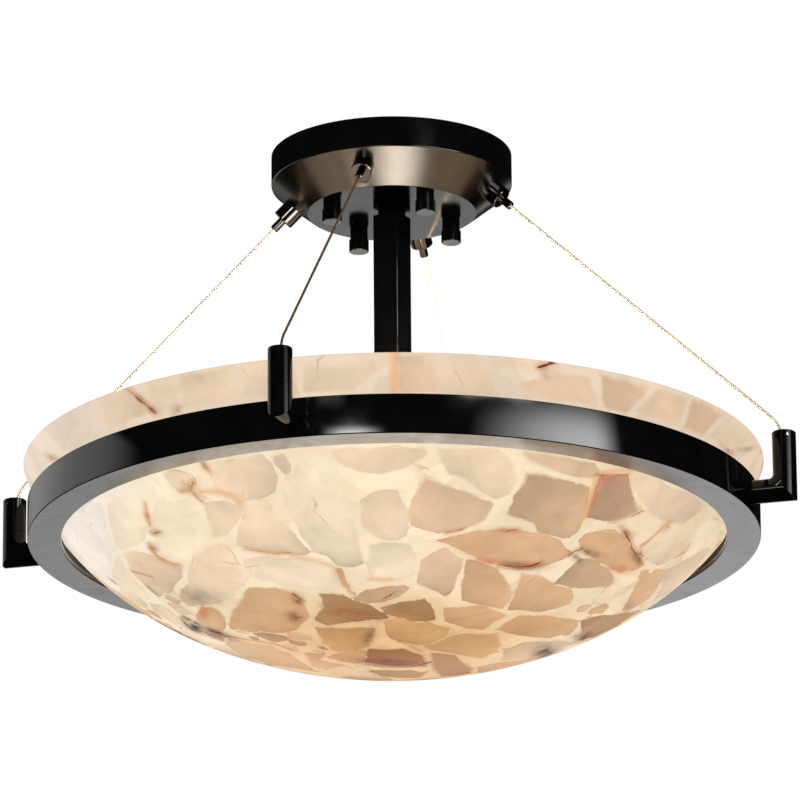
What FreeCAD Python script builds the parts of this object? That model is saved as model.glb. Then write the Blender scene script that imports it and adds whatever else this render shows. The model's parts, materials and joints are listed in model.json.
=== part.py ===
import FreeCAD, Part
import math
import os

import Sketcher
from FreeCAD import Placement, Rotation, Vector

# Semi flush ceiling light: a glowing stone bowl that rests in an angle ring, hung on four steel
# cables from a ceiling canopy, with a square stem that carries a three lamp cluster in the bowl.
# Millimetres, +Z up.  The origin is the middle of the ceiling plane, on the mounting plate's top
# face, and all of the light hangs below it.  Azimuths are measured about Z from -Y towards +X.

SIZES = {
    # ceiling plate, its two pairs of box screw holes, and its four studs
    "plate_radius": 62.0,
    "plate_thick": 2.5,
    "plate_wire_hole_radius": 14.0,
    "plate_wide_spacing": 88.9,
    "plate_narrow_spacing": 69.85,
    "plate_screw_hole_radius": 2.4,
    "plate_ground_reach": 26.0,
    "stud_circle_radius": 46.7,
    "stud_radius": 2.5,
    "stud_azimuth": 29.3,
    "stud_nut_width": 8.0,
    "stud_nut_thick": 4.0,
    "stud_end_gap": 1.0,
    "ground_head_radius": 4.0,
    "ground_head_tall": 2.4,
    # spun canopy: vertical band, cone and flat face
    "canopy_radius": 82.6,
    "canopy_band_drop": 21.2,
    "canopy_drop": 41.0,
    "canopy_face_radius": 57.85,
    "canopy_wall": 1.6,
    "canopy_wall_lean": 0.35,
    "canopy_edge_round": 1.1,
    "canopy_hole_gap": 0.4,
    # round thumb nuts that hold the canopy on its studs
    "thumb_radius": 6.8,
    "thumb_neck_radius": 6.05,
    "thumb_grip_tall": 8.8,
    "thumb_neck_tall": 5.0,
    "thumb_bore_depth": 10.5,
    "thumb_gap": 0.05,
    "thumb_edge": 0.5,
    # stem, its round neck and the threaded nipple through both
    "neck_radius": 9.4,
    "neck_tall": 2.6,
    "stem_side": 19.05,
    "stem_wall": 1.6,
    "stem_corner": 0.8,
    "stem_end": 4.0,
    "stem_face_azimuth": 59.7,
    "nipple_radius": 4.9,
    "nipple_bore": 3.6,
    "nipple_above": 12.0,
    "nipple_below": 7.0,
    "washer_radius": 11.0,
    "washer_thick": 1.2,
    "locknut_width": 16.0,
    "locknut_thick": 3.2,
    # lamp cluster at the stem's foot
    "hub_drop": 262.0,
    "hub_radius": 25.0,
    "hub_tall": 26.0,
    "hub_wall": 2.0,
    "cover_radius": 26.5,
    "cover_thick": 3.0,
    "cover_screw_radius": 2.0,
    "cover_rim_tall": 1.2,
    "cover_slope": 4.0,
    "cover_head_overlap": 2.0,
    "cover_head_tall": 2.0,
    "cover_head_crown": 0.6,
    "arm_tube_radius": 4.9,
    "arm_tube_start": 21.0,
    "arm_tube_end": 35.0,
    "socket_radius": 17.5,
    "socket_start": 33.0,
    "socket_end": 82.0,
    "socket_floor": 6.0,
    "socket_bore": 14.4,
    "socket_shoulder": 3.0,
    "socket_rim_edge": 1.0,
    "shell_wall": 0.5,
    "shell_end": 78.0,
    "contact_radius": 4.5,
    "contact_tall": 3.0,
    "contact_edge": 1.5,
    # screw-in lamps
    "lamp_azimuth": 59.7,
    "lamp_base_radius": 13.3,
    "lamp_tip_radius": 5.0,
    "lamp_tip_start": 42.6,
    "lamp_tip_edge": 1.5,
    "lamp_tip_tall": 2.0,
    "lamp_base_start": 50.0,
    "lamp_base_end": 79.0,
    "lamp_throat_radius": 14.0,
    "lamp_throat_long": 6.0,
    "lamp_swell_start": 8.0,
    "lamp_glass_radius": 30.0,
    "lamp_globe_at": 124.0,
    # cable grippers on the canopy's cone
    "cable_azimuth": -15.5,
    "cable_slope": 43.2,
    "cable_radius": 0.85,
    "gripper_base_radius": 70.39,
    "gripper_base_drop": 30.97,
    "barrel_radius": 7.6,
    "barrel_out": 10.7,
    "barrel_in": 6.0,
    "barrel_tail_radius": 4.5,
    "barrel_tail": 15.0,
    "barrel_front_wall": 3.0,
    "chamber_radius": 4.4,
    "chamber_in": 8.0,
    "cable_bore": 1.3,
    "plunger_radius": 2.9,
    "plunger_out": 19.5,
    "plunger_flange_radius": 4.1,
    "plunger_flange_tall": 3.0,
    "plunger_travel": 3.0,
    "plunger_gap": 0.08,
    "spring_outer_radius": 4.0,
    "spring_inner_radius": 3.0,
    "gripper_nut_width": 13.0,
    "gripper_nut_in": 9.5,
    "gripper_edge": 0.5,
    "gripper_gap": 0.1,
    "cable_tail": 6.0,
    # posts on the ring that the cables end in
    "post_radius_at": 270.6,
    "post_radius": 8.0,
    "post_axis_drop": 262.8,
    "post_seam_drop": 246.4,
    "post_top_drop": 222.8,
    "post_edge": 0.7,
    "post_seam_edge": 0.3,
    "elbow_inner_round": 3.0,
    "elbow_throat_under": 0.03,
    "elbow_heel_round": 1.8,
    "arm_reach_in": 6.0,
    "spigot_radius": 5.0,
    "spigot_tall": 8.0,
    "cap_bore_tall": 14.0,
    "cap_cable_hole": 2.2,
    "cable_bend": 21.5,
    "stop_radius": 3.4,
    "stop_tall": 5.0,
    "stop_edge": 1.0,
    "set_screw_radius": 1.1,
    "set_screw_below_top": 3.3,
    "set_screw_long": 4.4,
    "set_screw_sunk": 0.8,
    "arm_screw_radius": 3.0,
    "arm_screw_depth": 14.0,
    "arm_screw_set_in": 0.1,
    "arm_screw_head_radius": 5.5,
    "arm_screw_head_tall": 3.2,
    "arm_screw_head_slope": 1.5,
    "arm_screw_head_rim": 1.2,
    # angle ring that the bowl sits in
    "ring_radius": 247.65,
    "ring_drop": 276.1,
    "ring_tall": 26.6,
    "ring_flange": 23.0,
    "ring_thick": 3.2,
    "ring_edge": 0.7,
    # bowl and the soft seat under it
    "bowl_radius_full": 258.5,
    "bowl_depth_full": 180.5,
    "bowl_centre_drop": 179.4,
    "bowl_rim_drop": 222.5,
    "bowl_wall": 9.0,
    "bowl_rim_round": 1.5,
    "seat_outer_radius": 238.0,
    "seat_low_gap": 1.0,
    "seat_tall": 10.0,
    "seat_gap": 0.42,
}

SIDES = ("front", "right", "back", "left")
LAMPS = ("a", "b", "c")
# each cap's set screw, as a turn away from its post's own azimuth
SET_SCREW_TURNS = (150.0, -58.2, 180.0, 61.7)
# how far a tool stands past the piece it cuts
CLEAR = 2.0

doc = FreeCAD.newDocument("ceiling_light")
sheet = doc.addObject("Spreadsheet::Sheet", "Sizes")
for row, (alias, number) in enumerate(SIZES.items(), start=1):
    sheet.set(f"A{row}", alias)
    sheet.set(f"B{row}", str(number))
    sheet.setAlias(f"B{row}", alias)
doc.recompute()


class Size:
    """A length that carries both its number and the sheet expression that gives it."""

    def __init__(self, number, text):
        self.number = number
        self.text = text

    def joined(self, other, sign):
        other = other if isinstance(other, Size) else Size(float(other), repr(float(other)))
        numbers = {"+": self.number + other.number, "-": self.number - other.number,
                   "*": self.number * other.number}
        return Size(numbers[sign], f"({self.text} {sign} {other.text})")

    def __add__(self, other):
        return self.joined(other, "+")

    def __sub__(self, other):
        return self.joined(other, "-")

    def __mul__(self, other):
        return self.joined(other, "*")

    def __neg__(self):
        return self.joined(-1.0, "*")


def size(alias):
    """Read one driving dimension from the sheet."""
    return Size(float(sheet.get(alias)), f"Sizes.{alias}")


ZERO = Size(0.0, "0")


def bind(thing, name, value):
    """Give a property its size and keep it tied to the sheet."""
    thing.setExpression(name, value.text)


def heading(azimuth):
    """Unit vector that points outward at an azimuth in degrees."""
    angle = math.radians(azimuth)
    return Vector(math.sin(angle), -math.cos(angle), 0)


def turned(azimuth):
    """Rotation that brings local +X to an azimuth."""
    return Rotation(Vector(0, 0, 1), azimuth - 90)


def side_azimuth(index):
    return SIZES["cable_azimuth"] + 90 * index


def stud_azimuth(index):
    return SIZES["stud_azimuth"] + 90 * index


def lamp_azimuth(index):
    return SIZES["lamp_azimuth"] + 120 * index


# ---------------------------------------------------------------- shared ways of making a piece


def new_body(name):
    return doc.addObject("PartDesign::Body", name)


def origin_feature(body, role):
    for feature in body.Origin.OriginFeatures:
        if feature.Role == role:
            return feature
    raise ValueError(role)


def new_sketch(body, plane):
    sketch = body.newObject("Sketcher::SketchObject", f"{body.Name}_sketch")
    sketch.AttachmentSupport = (origin_feature(body, plane), [""])
    sketch.MapMode = "FlatFace"
    return sketch


def fix_point(sketch, geometry, corner, across, up):
    """Hold one sketch point at a place given by two sizes."""
    for kind, axis, value in (("DistanceX", -2, across), ("DistanceY", -1, up)):
        if abs(value.number) < 1e-9:
            sketch.addConstraint(Sketcher.Constraint("PointOnObject", geometry, corner, axis))
            continue
        rule = Sketcher.Constraint(kind, -1, 1, geometry, corner, value.number)
        index = sketch.addConstraint(rule)
        bind(sketch, f"Constraints[{index}]", value)


def outline(sketch, corners):
    """Draw a closed outline of straight sides through corners given as pairs of sizes."""
    spots = [Vector(across.number, up.number, 0) for across, up in corners]
    first = sketch.GeometryCount
    for start, end in zip(spots, spots[1:] + spots[:1]):
        sketch.addGeometry(Part.LineSegment(start, end), False)
    for step, (across, up) in enumerate(corners):
        after = first + (step + 1) % len(corners)
        sketch.addConstraint(Sketcher.Constraint("Coincident", first + step, 2, after, 1))
        fix_point(sketch, first + step, 1, across, up)


def ring_line(sketch, radius, across=ZERO, up=ZERO):
    """Draw a circle of a given radius and centre."""
    middle = Vector(across.number, up.number, 0)
    index = sketch.addGeometry(Part.Circle(middle, Vector(0, 0, 1), radius.number), False)
    fix_point(sketch, index, 3, across, up)
    rule = sketch.addConstraint(Sketcher.Constraint("Radius", index, radius.number))
    bind(sketch, f"Constraints[{rule}]", radius)


def revolve(name, corners):
    """Turn an outline, given as radius and height, about the local Z axis."""
    body = new_body(name)
    sketch = new_sketch(body, "XZ_Plane")
    outline(sketch, corners)
    turn = body.newObject("PartDesign::Revolution", f"{name}_turn")
    turn.Profile = sketch
    turn.ReferenceAxis = (sketch, ["V_Axis"])
    turn.Angle = 360
    return body


def pad(body, sketch, length, name="pad"):
    """Raise a sketch by a length."""
    feature = body.newObject("PartDesign::Pad", f"{body.Name}_{name}")
    feature.Profile = sketch
    feature.Length = length.number
    bind(feature, "Length", length)
    return feature


def pocket_through(body, sketch, name="pocket"):
    """Cut a sketch through the whole body, both ways."""
    doc.recompute()
    before = body.Shape.Volume
    feature = body.newObject("PartDesign::Pocket", f"{body.Name}_{name}")
    feature.Profile = sketch
    feature.Type = "ThroughAll"
    feature.Midplane = True
    doc.recompute()
    if body.Shape.Volume >= before:
        raise ValueError(f"{body.Name} {name} cuts nothing")
    return feature


def repeat_round(body, feature, count, axis_role="Z_Axis"):
    """Repeat a feature evenly about an axis of the body."""
    pattern = body.newObject("PartDesign::PolarPattern", f"{body.Name}_pattern")
    pattern.Originals = [feature]
    pattern.Axis = (origin_feature(body, axis_role), [""])
    pattern.Angle = 360
    pattern.Occurrences = count
    body.Tip = pattern
    return pattern


def round_edges(body, name, radius, wanted):
    """Round the edges of a body for which wanted(edge) is true."""
    doc.recompute()
    base = body.Tip
    names = [f"Edge{i}" for i, edge in enumerate(base.Shape.Edges, start=1) if wanted(edge)]
    if not names:
        raise ValueError(f"{body.Name} {name} finds no edge")
    feature = body.newObject("PartDesign::Fillet", f"{body.Name}_{name}")
    feature.Base = (base, names)
    feature.Radius = radius.number
    bind(feature, "Radius", radius)
    return feature


def cylinder(name, radius, length, place):
    piece = doc.addObject("Part::Cylinder", name)
    bind(piece, "Radius", radius)
    bind(piece, "Height", length)
    piece.Placement = place
    return piece


def hexagon(name, width, thick, bore, place):
    """Make a hexagon nut by its width across flats."""
    body = new_body(name)
    sketch = new_sketch(body, "XY_Plane")
    reach = width * (1 / math.sqrt(3))
    corners = []
    for step in range(6):
        angle = math.radians(60 * step)
        corners.append((reach * math.cos(angle), reach * math.sin(angle)))
    outline(sketch, corners)
    ring_line(sketch, bore)
    pad(body, sketch, thick)
    body.Placement = place
    return body


def cut(name, base, *tools):
    """Subtract one or more pieces from a base piece."""
    result = base
    for step, tool in enumerate(tools, start=1):
        piece = doc.addObject("Part::Cut", name if step == len(tools) else f"{name}_step_{step}")
        piece.Base = result
        piece.Tool = tool
        result = piece
    return result


def group(name, members):
    """Keep several alike pieces as separate solids of one node."""
    piece = doc.addObject("Part::Compound", name)
    piece.Links = members
    return piece


nodes = []


def keep(label, piece):
    """List a finished piece under the name of its node."""
    piece.Label = label
    nodes.append(piece)
    return piece


# ---------------------------------------------------------------- ceiling plate and studs


def build_mounting_plate():
    """Round steel plate with two pairs of box screw holes, a wire hole and tapped holes."""
    body = new_body("mounting_plate_body")
    disc = new_sketch(body, "XY_Plane")
    ring_line(disc, size("plate_radius"))
    ring_line(disc, size("plate_wire_hole_radius"))
    for side in (0.5, -0.5):
        ring_line(disc, size("plate_screw_hole_radius"), size("plate_wide_spacing") * side)
        ring_line(disc, size("plate_screw_hole_radius"), ZERO, size("plate_narrow_spacing") * side)
    ring_line(disc, size("stud_radius"), -size("plate_ground_reach"), size("plate_ground_reach"))
    pad(body, disc, size("plate_thick"))
    studs = new_sketch(body, "XY_Plane")
    place = heading(SIZES["stud_azimuth"])
    ring_line(studs, size("stud_radius"), size("stud_circle_radius") * place.x,
              size("stud_circle_radius") * place.y)
    repeat_round(body, pocket_through(body, studs, "stud_hole"), 4)
    body.Placement = Placement(Vector(0, 0, -SIZES["plate_thick"]), Rotation())
    keep("mounting_plate", body)


def stud_place(index, drop):
    return Placement(heading(stud_azimuth(index)) * SIZES["stud_circle_radius"] - Vector(0, 0, drop),
                     Rotation())


def build_studs():
    """Four studs that stand down from the plate, each with a nut under the plate."""
    reach = size("canopy_drop") + size("thumb_bore_depth") - size("stud_end_gap")
    studs = [cylinder(f"stud_{i}", size("stud_radius"), reach, stud_place(i, reach.number))
             for i in range(4)]
    keep("mounting_studs", group("mounting_studs_group", studs))
    drop = SIZES["plate_thick"] + SIZES["stud_nut_thick"]
    nuts = [hexagon(f"stud_nut_{i}", size("stud_nut_width"), size("stud_nut_thick"),
                    size("stud_radius"), stud_place(i, drop)) for i in range(4)]
    keep("stud_lock_nuts", group("stud_lock_nuts_group", nuts))


def build_ground_screw():
    """Ground screw in its tapped hole, head below the plate."""
    head, shank, thick = size("ground_head_radius"), size("stud_radius"), size("plate_thick")
    foot = -thick - size("ground_head_tall")
    corners = [(ZERO, ZERO), (shank, ZERO), (shank, -thick), (head, -thick), (head, foot),
               (ZERO, foot)]
    body = revolve("ground_screw_body", corners)
    reach = SIZES["plate_ground_reach"]
    body.Placement = Placement(Vector(-reach, reach, 0), Rotation())
    keep("ground_screw", body)


# ---------------------------------------------------------------- canopy and thumb nuts


def canopy_outline(grow):
    """Outer outline of the canopy, closed at the ceiling plane, moved out by a wall."""
    band, face = size("canopy_radius") + grow, size("canopy_face_radius")
    lean = grow * SIZES["canopy_wall_lean"]
    foot = -size("canopy_drop") - grow
    return [(ZERO, ZERO), (band, ZERO), (band, -size("canopy_band_drop") - lean),
            (face + lean, foot), (ZERO, foot)]


def gripper_place(index):
    """Local +Z runs down the cable from the gripper's base on the cone."""
    out = heading(side_azimuth(index))
    slope = math.radians(SIZES["cable_slope"])
    axis = out * math.cos(slope) - Vector(0, 0, math.sin(slope))
    base = out * SIZES["gripper_base_radius"] - Vector(0, 0, SIZES["gripper_base_drop"])
    return Placement(base, Rotation(Vector(0, 0, 1), axis))


def build_canopy():
    """Thin spun shell with holes for the stem, the studs and the grippers' tails."""
    wall = -size("canopy_wall")
    outer = canopy_outline(ZERO)[1:4]
    inner = canopy_outline(wall)
    inner_face = (ZERO, inner[4][1])
    shell = revolve("canopy_shell_body", [(ZERO, outer[2][1])] + list(reversed(outer))
                    + [inner[1], inner[2], inner[3], inner_face])
    edges = (SIZES["canopy_radius"], SIZES["canopy_face_radius"])
    drops = (SIZES["canopy_band_drop"], SIZES["canopy_drop"])

    def outer_edge(edge):
        return any(abs(edge.Curve.Radius - radius) < 0.01 and abs(edge.Curve.Center.z + drop) < 0.01
                   for radius, drop in zip(edges, drops)
                   if isinstance(edge.Curve, Part.Circle))

    round_edges(shell, "edge_round", size("canopy_edge_round"), outer_edge)
    middle = new_sketch(shell, "XY_Plane")
    ring_line(middle, size("nipple_radius") + size("canopy_hole_gap"))
    pocket_through(shell, middle, "stem_hole")
    studs = new_sketch(shell, "XY_Plane")
    place = heading(SIZES["stud_azimuth"])
    ring_line(studs, size("stud_radius") + size("canopy_hole_gap"),
              size("stud_circle_radius") * place.x, size("stud_circle_radius") * place.y)
    repeat_round(shell, pocket_through(shell, studs, "stud_hole"), 4)
    tails = [cylinder(f"tail_hole_{i}", size("barrel_tail_radius") + size("gripper_gap"),
                      size("barrel_tail") * 2.0,
                      gripper_place(i) * Placement(Vector(0, 0, -SIZES["barrel_tail"]), Rotation()))
             for i in range(4)]
    return keep("canopy_shell", cut("canopy_shell_holes", shell, *tails))


def build_thumb_nuts():
    """Closed round nuts, stepped in above the grip, with a plain bore round the stud."""
    grip, neck = size("thumb_radius"), size("thumb_neck_radius")
    bore = size("stud_radius") + size("thumb_gap")
    tall = size("thumb_grip_tall") + size("thumb_neck_tall")
    roof = tall - size("thumb_bore_depth")
    edge = size("thumb_edge")
    for index in range(4):
        corners = [(ZERO, ZERO), (grip - edge, ZERO), (grip, ZERO + edge),
                   (grip, size("thumb_grip_tall") - edge), (grip - edge, size("thumb_grip_tall")),
                   (neck, size("thumb_grip_tall")), (neck, tall), (bore, tall), (bore, roof),
                   (ZERO, roof)]
        nut = revolve(f"thumb_nut_body_{index}", corners)
        drop = SIZES["canopy_drop"] + tall.number + SIZES["thumb_gap"]
        nut.Placement = stud_place(index, drop)
        keep(f"thumb_nut_{index + 1}", nut)


# ---------------------------------------------------------------- stem and its fastening


def build_stem():
    """Square tube with a closed top, its round neck, and the nipple, washer and nut above."""
    face = size("canopy_drop")
    neck_foot = face + size("neck_tall")
    stem_foot = size("hub_drop") - size("hub_tall") * 0.5
    bore = size("nipple_radius")
    neck = revolve("stem_neck_body", [(bore, ZERO), (size("neck_radius"), ZERO),
                                      (size("neck_radius"), size("neck_tall")),
                                      (bore, size("neck_tall"))])
    neck.Placement = Placement(Vector(0, 0, -neck_foot.number), Rotation())
    keep("stem_neck", neck)

    body = new_body("stem_tube_body")
    half = size("stem_side") * 0.5
    outer = new_sketch(body, "XY_Plane")
    outline(outer, [(-half, -half), (half, -half), (half, half), (-half, half)])
    long = stem_foot - neck_foot
    pad(body, outer, long)
    inner = new_sketch(body, "XY_Plane")
    inside = half - size("stem_wall")
    outline(inner, [(-inside, -inside), (inside, -inside), (inside, inside), (-inside, inside)])
    doc.recompute()
    hollow = body.newObject("PartDesign::Pocket", "stem_tube_hollow")
    hollow.Profile = inner
    hollow.Reversed = True
    bind(hollow, "Length", long - size("stem_end"))
    top = new_sketch(body, "XY_Plane")
    ring_line(top, bore)
    pocket_through(body, top, "nipple_hole")

    def long_corner(edge):
        ends = [vertex.Point for vertex in edge.Vertexes]
        if len(ends) < 2:
            return False
        upright = (ends[0] - ends[1]).getAngle(Vector(0, 0, 1)) % math.pi < 0.01
        return upright and abs(abs(ends[0].x) - half.number) < 0.01

    round_edges(body, "corner_round", size("stem_corner"), long_corner)
    body.Placement = Placement(Vector(0, 0, -stem_foot.number),
                               turned(SIZES["stem_face_azimuth"]))
    keep("stem_tube", body)

    above = face - size("nipple_above")
    below = neck_foot + size("nipple_below")
    nipple = revolve("stem_nipple_body", [(size("nipple_bore"), -below), (bore, -below),
                                          (bore, -above), (size("nipple_bore"), -above)])
    keep("stem_nipple", nipple)
    floor = face - size("canopy_wall")
    lift = floor - size("washer_thick")
    washer = revolve("nipple_washer_body", [(bore, -floor), (size("washer_radius"), -floor),
                                            (size("washer_radius"), -lift), (bore, -lift)])
    keep("nipple_washer", washer)
    nut = hexagon("nipple_nut_body", size("locknut_width"), size("locknut_thick"), bore,
                  Placement(Vector(0, 0, -lift.number), Rotation()))
    keep("nipple_lock_nut", nut)


# ---------------------------------------------------------------- lamp cluster


def lamp_place(index):
    """Local +Z runs outward along a lamp from the cluster's middle."""
    return Placement(Vector(0, 0, -SIZES["hub_drop"]),
                     Rotation(Vector(0, 0, 1), heading(lamp_azimuth(index))))


def lamp_piece(name, index, corners):
    """Turn an outline about a lamp's own axis."""
    piece = revolve(f"{name}_{LAMPS[index]}_body", corners)
    piece.Placement = lamp_place(index)
    return piece


def build_cluster():
    """Drum with three side holes round the stem's foot, closed by a screwed cover."""
    top = size("hub_drop") - size("hub_tall") * 0.5
    foot = size("hub_drop") + size("hub_tall") * 0.5
    wall = size("hub_wall")
    drum = revolve("hub_drum", [(ZERO, -top), (size("hub_radius"), -top),
                                (size("hub_radius"), -foot),
                                (size("hub_radius") - wall, -foot),
                                (size("hub_radius") - wall, -top - wall), (ZERO, -top - wall)])
    round_edges(drum, "edge_round", size("canopy_edge_round"),
                lambda edge: isinstance(edge.Curve, Part.Circle)
                and abs(edge.Curve.Radius - SIZES["hub_radius"]) < 0.01
                and abs(edge.Curve.Center.z + top.number) < 0.01)
    wires = new_sketch(drum, "XY_Plane")
    ring_line(wires, size("nipple_radius"))
    pocket_through(drum, wires, "wire_hole")
    holes = [cylinder(f"arm_hole_{i}", size("arm_tube_radius"), size("hub_radius") * 2.0,
                      lamp_place(i)) for i in range(3)]
    keep("lamp_cluster_drum", cut("hub_holes", drum, *holes))

    rim = size("cover_radius")
    screw = size("cover_screw_radius")
    low = foot + size("cover_thick")
    brim = foot + size("cover_rim_tall")
    cover = revolve("cluster_cover_body", [(screw, -foot), (rim, -foot), (rim, -brim),
                                           (rim - size("cover_slope"), -low), (screw, -low)])
    keep("lamp_cluster_cover", cover)
    head = screw + size("cover_head_overlap")
    end = low + size("cover_head_tall")
    bolt = revolve("cover_screw_body", [(ZERO, -top - wall), (screw, -top - wall), (screw, -low),
                                        (head, -low), (head, -end),
                                        (ZERO, -end - size("cover_head_crown"))])
    keep("cluster_cover_screw", bolt)


def build_lamps():
    """Arm tube, socket, screw shell, contact and lamp along each of three outward axes."""
    tube, tube_bore = size("arm_tube_radius"), size("nipple_bore")
    socket, bore = size("socket_radius"), size("socket_bore")
    start, end = size("socket_start"), size("socket_end")
    floor = start + size("socket_floor")
    shell_bore = bore - size("shell_wall")
    shoulder, rim = size("socket_shoulder"), size("socket_rim_edge")
    contact, tip = size("contact_radius"), size("contact_tall")
    cap_tip = size("lamp_tip_start")
    tubes, shells, contacts = [], [], []
    for index in range(3):
        first, last = size("arm_tube_start"), size("arm_tube_end")
        tubes.append(lamp_piece("arm_tube", index, [(tube_bore, first), (tube, first), (tube, last),
                                                    (tube_bore, last)]))
        body = lamp_piece("socket", index, [
            (tube, start), (socket - shoulder, start), (socket, start + shoulder),
            (socket, end - rim), (socket - rim, end), (bore, end), (bore, floor), (tube, floor)])
        keep(f"lamp_socket_{LAMPS[index]}", body)
        shells.append(lamp_piece("shell", index, [(shell_bore, floor), (bore, floor),
                                                  (bore, size("shell_end")),
                                                  (shell_bore, size("shell_end"))]))
        contacts.append(lamp_piece("contact", index, [(ZERO, floor), (contact, floor),
                                                      (contact - size("contact_edge"), floor + tip),
                                                      (ZERO, floor + tip)]))
        base = size("lamp_base_radius")
        keep(f"lamp_base_{LAMPS[index]}", lamp_piece("lamp_base", index, [
            (ZERO, cap_tip), (size("lamp_tip_radius") - size("lamp_tip_edge"), cap_tip),
            (size("lamp_tip_radius"), cap_tip + size("lamp_tip_tall")),
            (base, size("lamp_base_start")), (base, size("lamp_base_end")),
            (ZERO, size("lamp_base_end"))]))
        keep(f"lamp_glass_{LAMPS[index]}", lamp_glass(index))
    keep("socket_arm_tubes", group("arm_tubes_group", tubes))
    keep("socket_screw_shells", group("shells_group", shells))
    keep("socket_contacts", group("contacts_group", contacts))


def lamp_glass(index):
    """Pear shaped globe: a throat that opens along a tangent cone into a round end."""
    body = new_body(f"lamp_glass_{LAMPS[index]}_body")
    sketch = new_sketch(body, "XZ_Plane")
    start, globe = SIZES["lamp_base_end"], SIZES["lamp_glass_radius"]
    centre, throat = SIZES["lamp_globe_at"], SIZES["lamp_throat_radius"]
    lean = math.asin((globe - throat) / (centre - start - SIZES["lamp_swell_start"]))
    touch = Vector(globe * math.cos(lean), centre - globe * math.sin(lean), 0)
    crown = Vector(0, centre + globe, 0)
    half = math.sqrt(0.5) * globe
    swell = Vector(half, centre + half, 0)
    neck_end = start + SIZES["lamp_throat_long"]
    spots = [Vector(0, start, 0), Vector(throat, start, 0), Vector(throat, neck_end, 0), touch]
    for first, last in zip(spots, spots[1:]):
        sketch.addGeometry(Part.LineSegment(first, last), False)
    sketch.addGeometry(Part.Arc(touch, swell, crown), False)
    sketch.addGeometry(Part.LineSegment(crown, spots[0]), False)
    turn = body.newObject("PartDesign::Revolution", f"{body.Name}_turn")
    turn.Profile = sketch
    turn.ReferenceAxis = (sketch, ["V_Axis"])
    turn.Angle = 360
    body.Placement = lamp_place(index)
    return body


# ---------------------------------------------------------------- cable grippers


def build_grippers():
    """Barrel scribed to the cone, plunger, spring and lock nut on each cable's upper end."""
    envelope = revolve("canopy_envelope", canopy_outline(ZERO))
    cavity = revolve("canopy_cavity", canopy_outline(-size("canopy_wall")))
    out, behind = size("barrel_out"), -size("barrel_in")
    barrel, tail_end = size("barrel_radius"), -size("barrel_tail")
    chamber, chamber_end = size("chamber_radius"), -size("chamber_in")
    nose = size("plunger_radius") + size("plunger_gap")
    edge, gap = size("gripper_edge"), size("gripper_gap")
    flange_top = out - size("barrel_front_wall") - gap
    nuts, springs = [], []
    for index, side in enumerate(SIDES):
        sleeve = revolve(f"barrel_sleeve_{side}", [
            (nose, behind), (barrel, behind), (barrel, out - edge), (barrel - edge, out),
            (nose, out)])
        sleeve.Placement = gripper_place(index)
        head = cut(f"barrel_head_{side}", sleeve, envelope)
        tail = revolve(f"barrel_tail_{side}", [
            (size("cable_bore"), tail_end), (size("barrel_tail_radius"), tail_end),
            (size("barrel_tail_radius"), out - size("barrel_front_wall")),
            (size("cable_bore"), out - size("barrel_front_wall"))])
        tail.Placement = gripper_place(index)
        room = revolve(f"barrel_room_{side}", [
            (ZERO, chamber_end), (chamber, chamber_end),
            (chamber, out - size("barrel_front_wall")), (ZERO, out - size("barrel_front_wall"))])
        room.Placement = gripper_place(index)
        whole = doc.addObject("Part::Fuse", f"barrel_whole_{side}")
        whole.Base = head
        whole.Tool = tail
        keep(f"gripper_barrel_{side}", cut(f"barrel_{side}", whole, room))
        plunger, rod_bore = size("plunger_radius"), size("cable_bore")
        flange = size("plunger_flange_radius")
        shaft = revolve(f"plunger_{side}", [
            (rod_bore, flange_top - size("plunger_flange_tall")),
            (flange, flange_top - size("plunger_flange_tall")), (flange, flange_top),
            (plunger, flange_top), (plunger, size("plunger_out") - edge),
            (plunger - edge, size("plunger_out")), (rod_bore, size("plunger_out"))])
        shaft.Placement = gripper_place(index)
        keep(f"gripper_plunger_{side}", shaft)
        spring_top = flange_top - size("plunger_flange_tall") - size("plunger_travel") - gap
        spring = revolve(f"spring_{side}", [
            (size("spring_inner_radius"), chamber_end), (size("spring_outer_radius"), chamber_end),
            (size("spring_outer_radius"), spring_top), (size("spring_inner_radius"), spring_top)])
        spring.Placement = gripper_place(index)
        springs.append(spring)
        block = hexagon(f"gripper_nut_block_{side}", size("gripper_nut_width"),
                        size("gripper_nut_in"), size("barrel_tail_radius"),
                        gripper_place(index) * Placement(-Vector(0, 0, SIZES["gripper_nut_in"]),
                                                         Rotation()))
        nut = doc.addObject("Part::Common", f"gripper_nut_{side}")
        nut.Base = block
        nut.Tool = cavity
        nuts.append(nut)
    keep("gripper_lock_nuts", group("gripper_nuts_group", nuts))
    keep("gripper_springs", group("gripper_springs_group", springs))


# ---------------------------------------------------------------- cables


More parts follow.
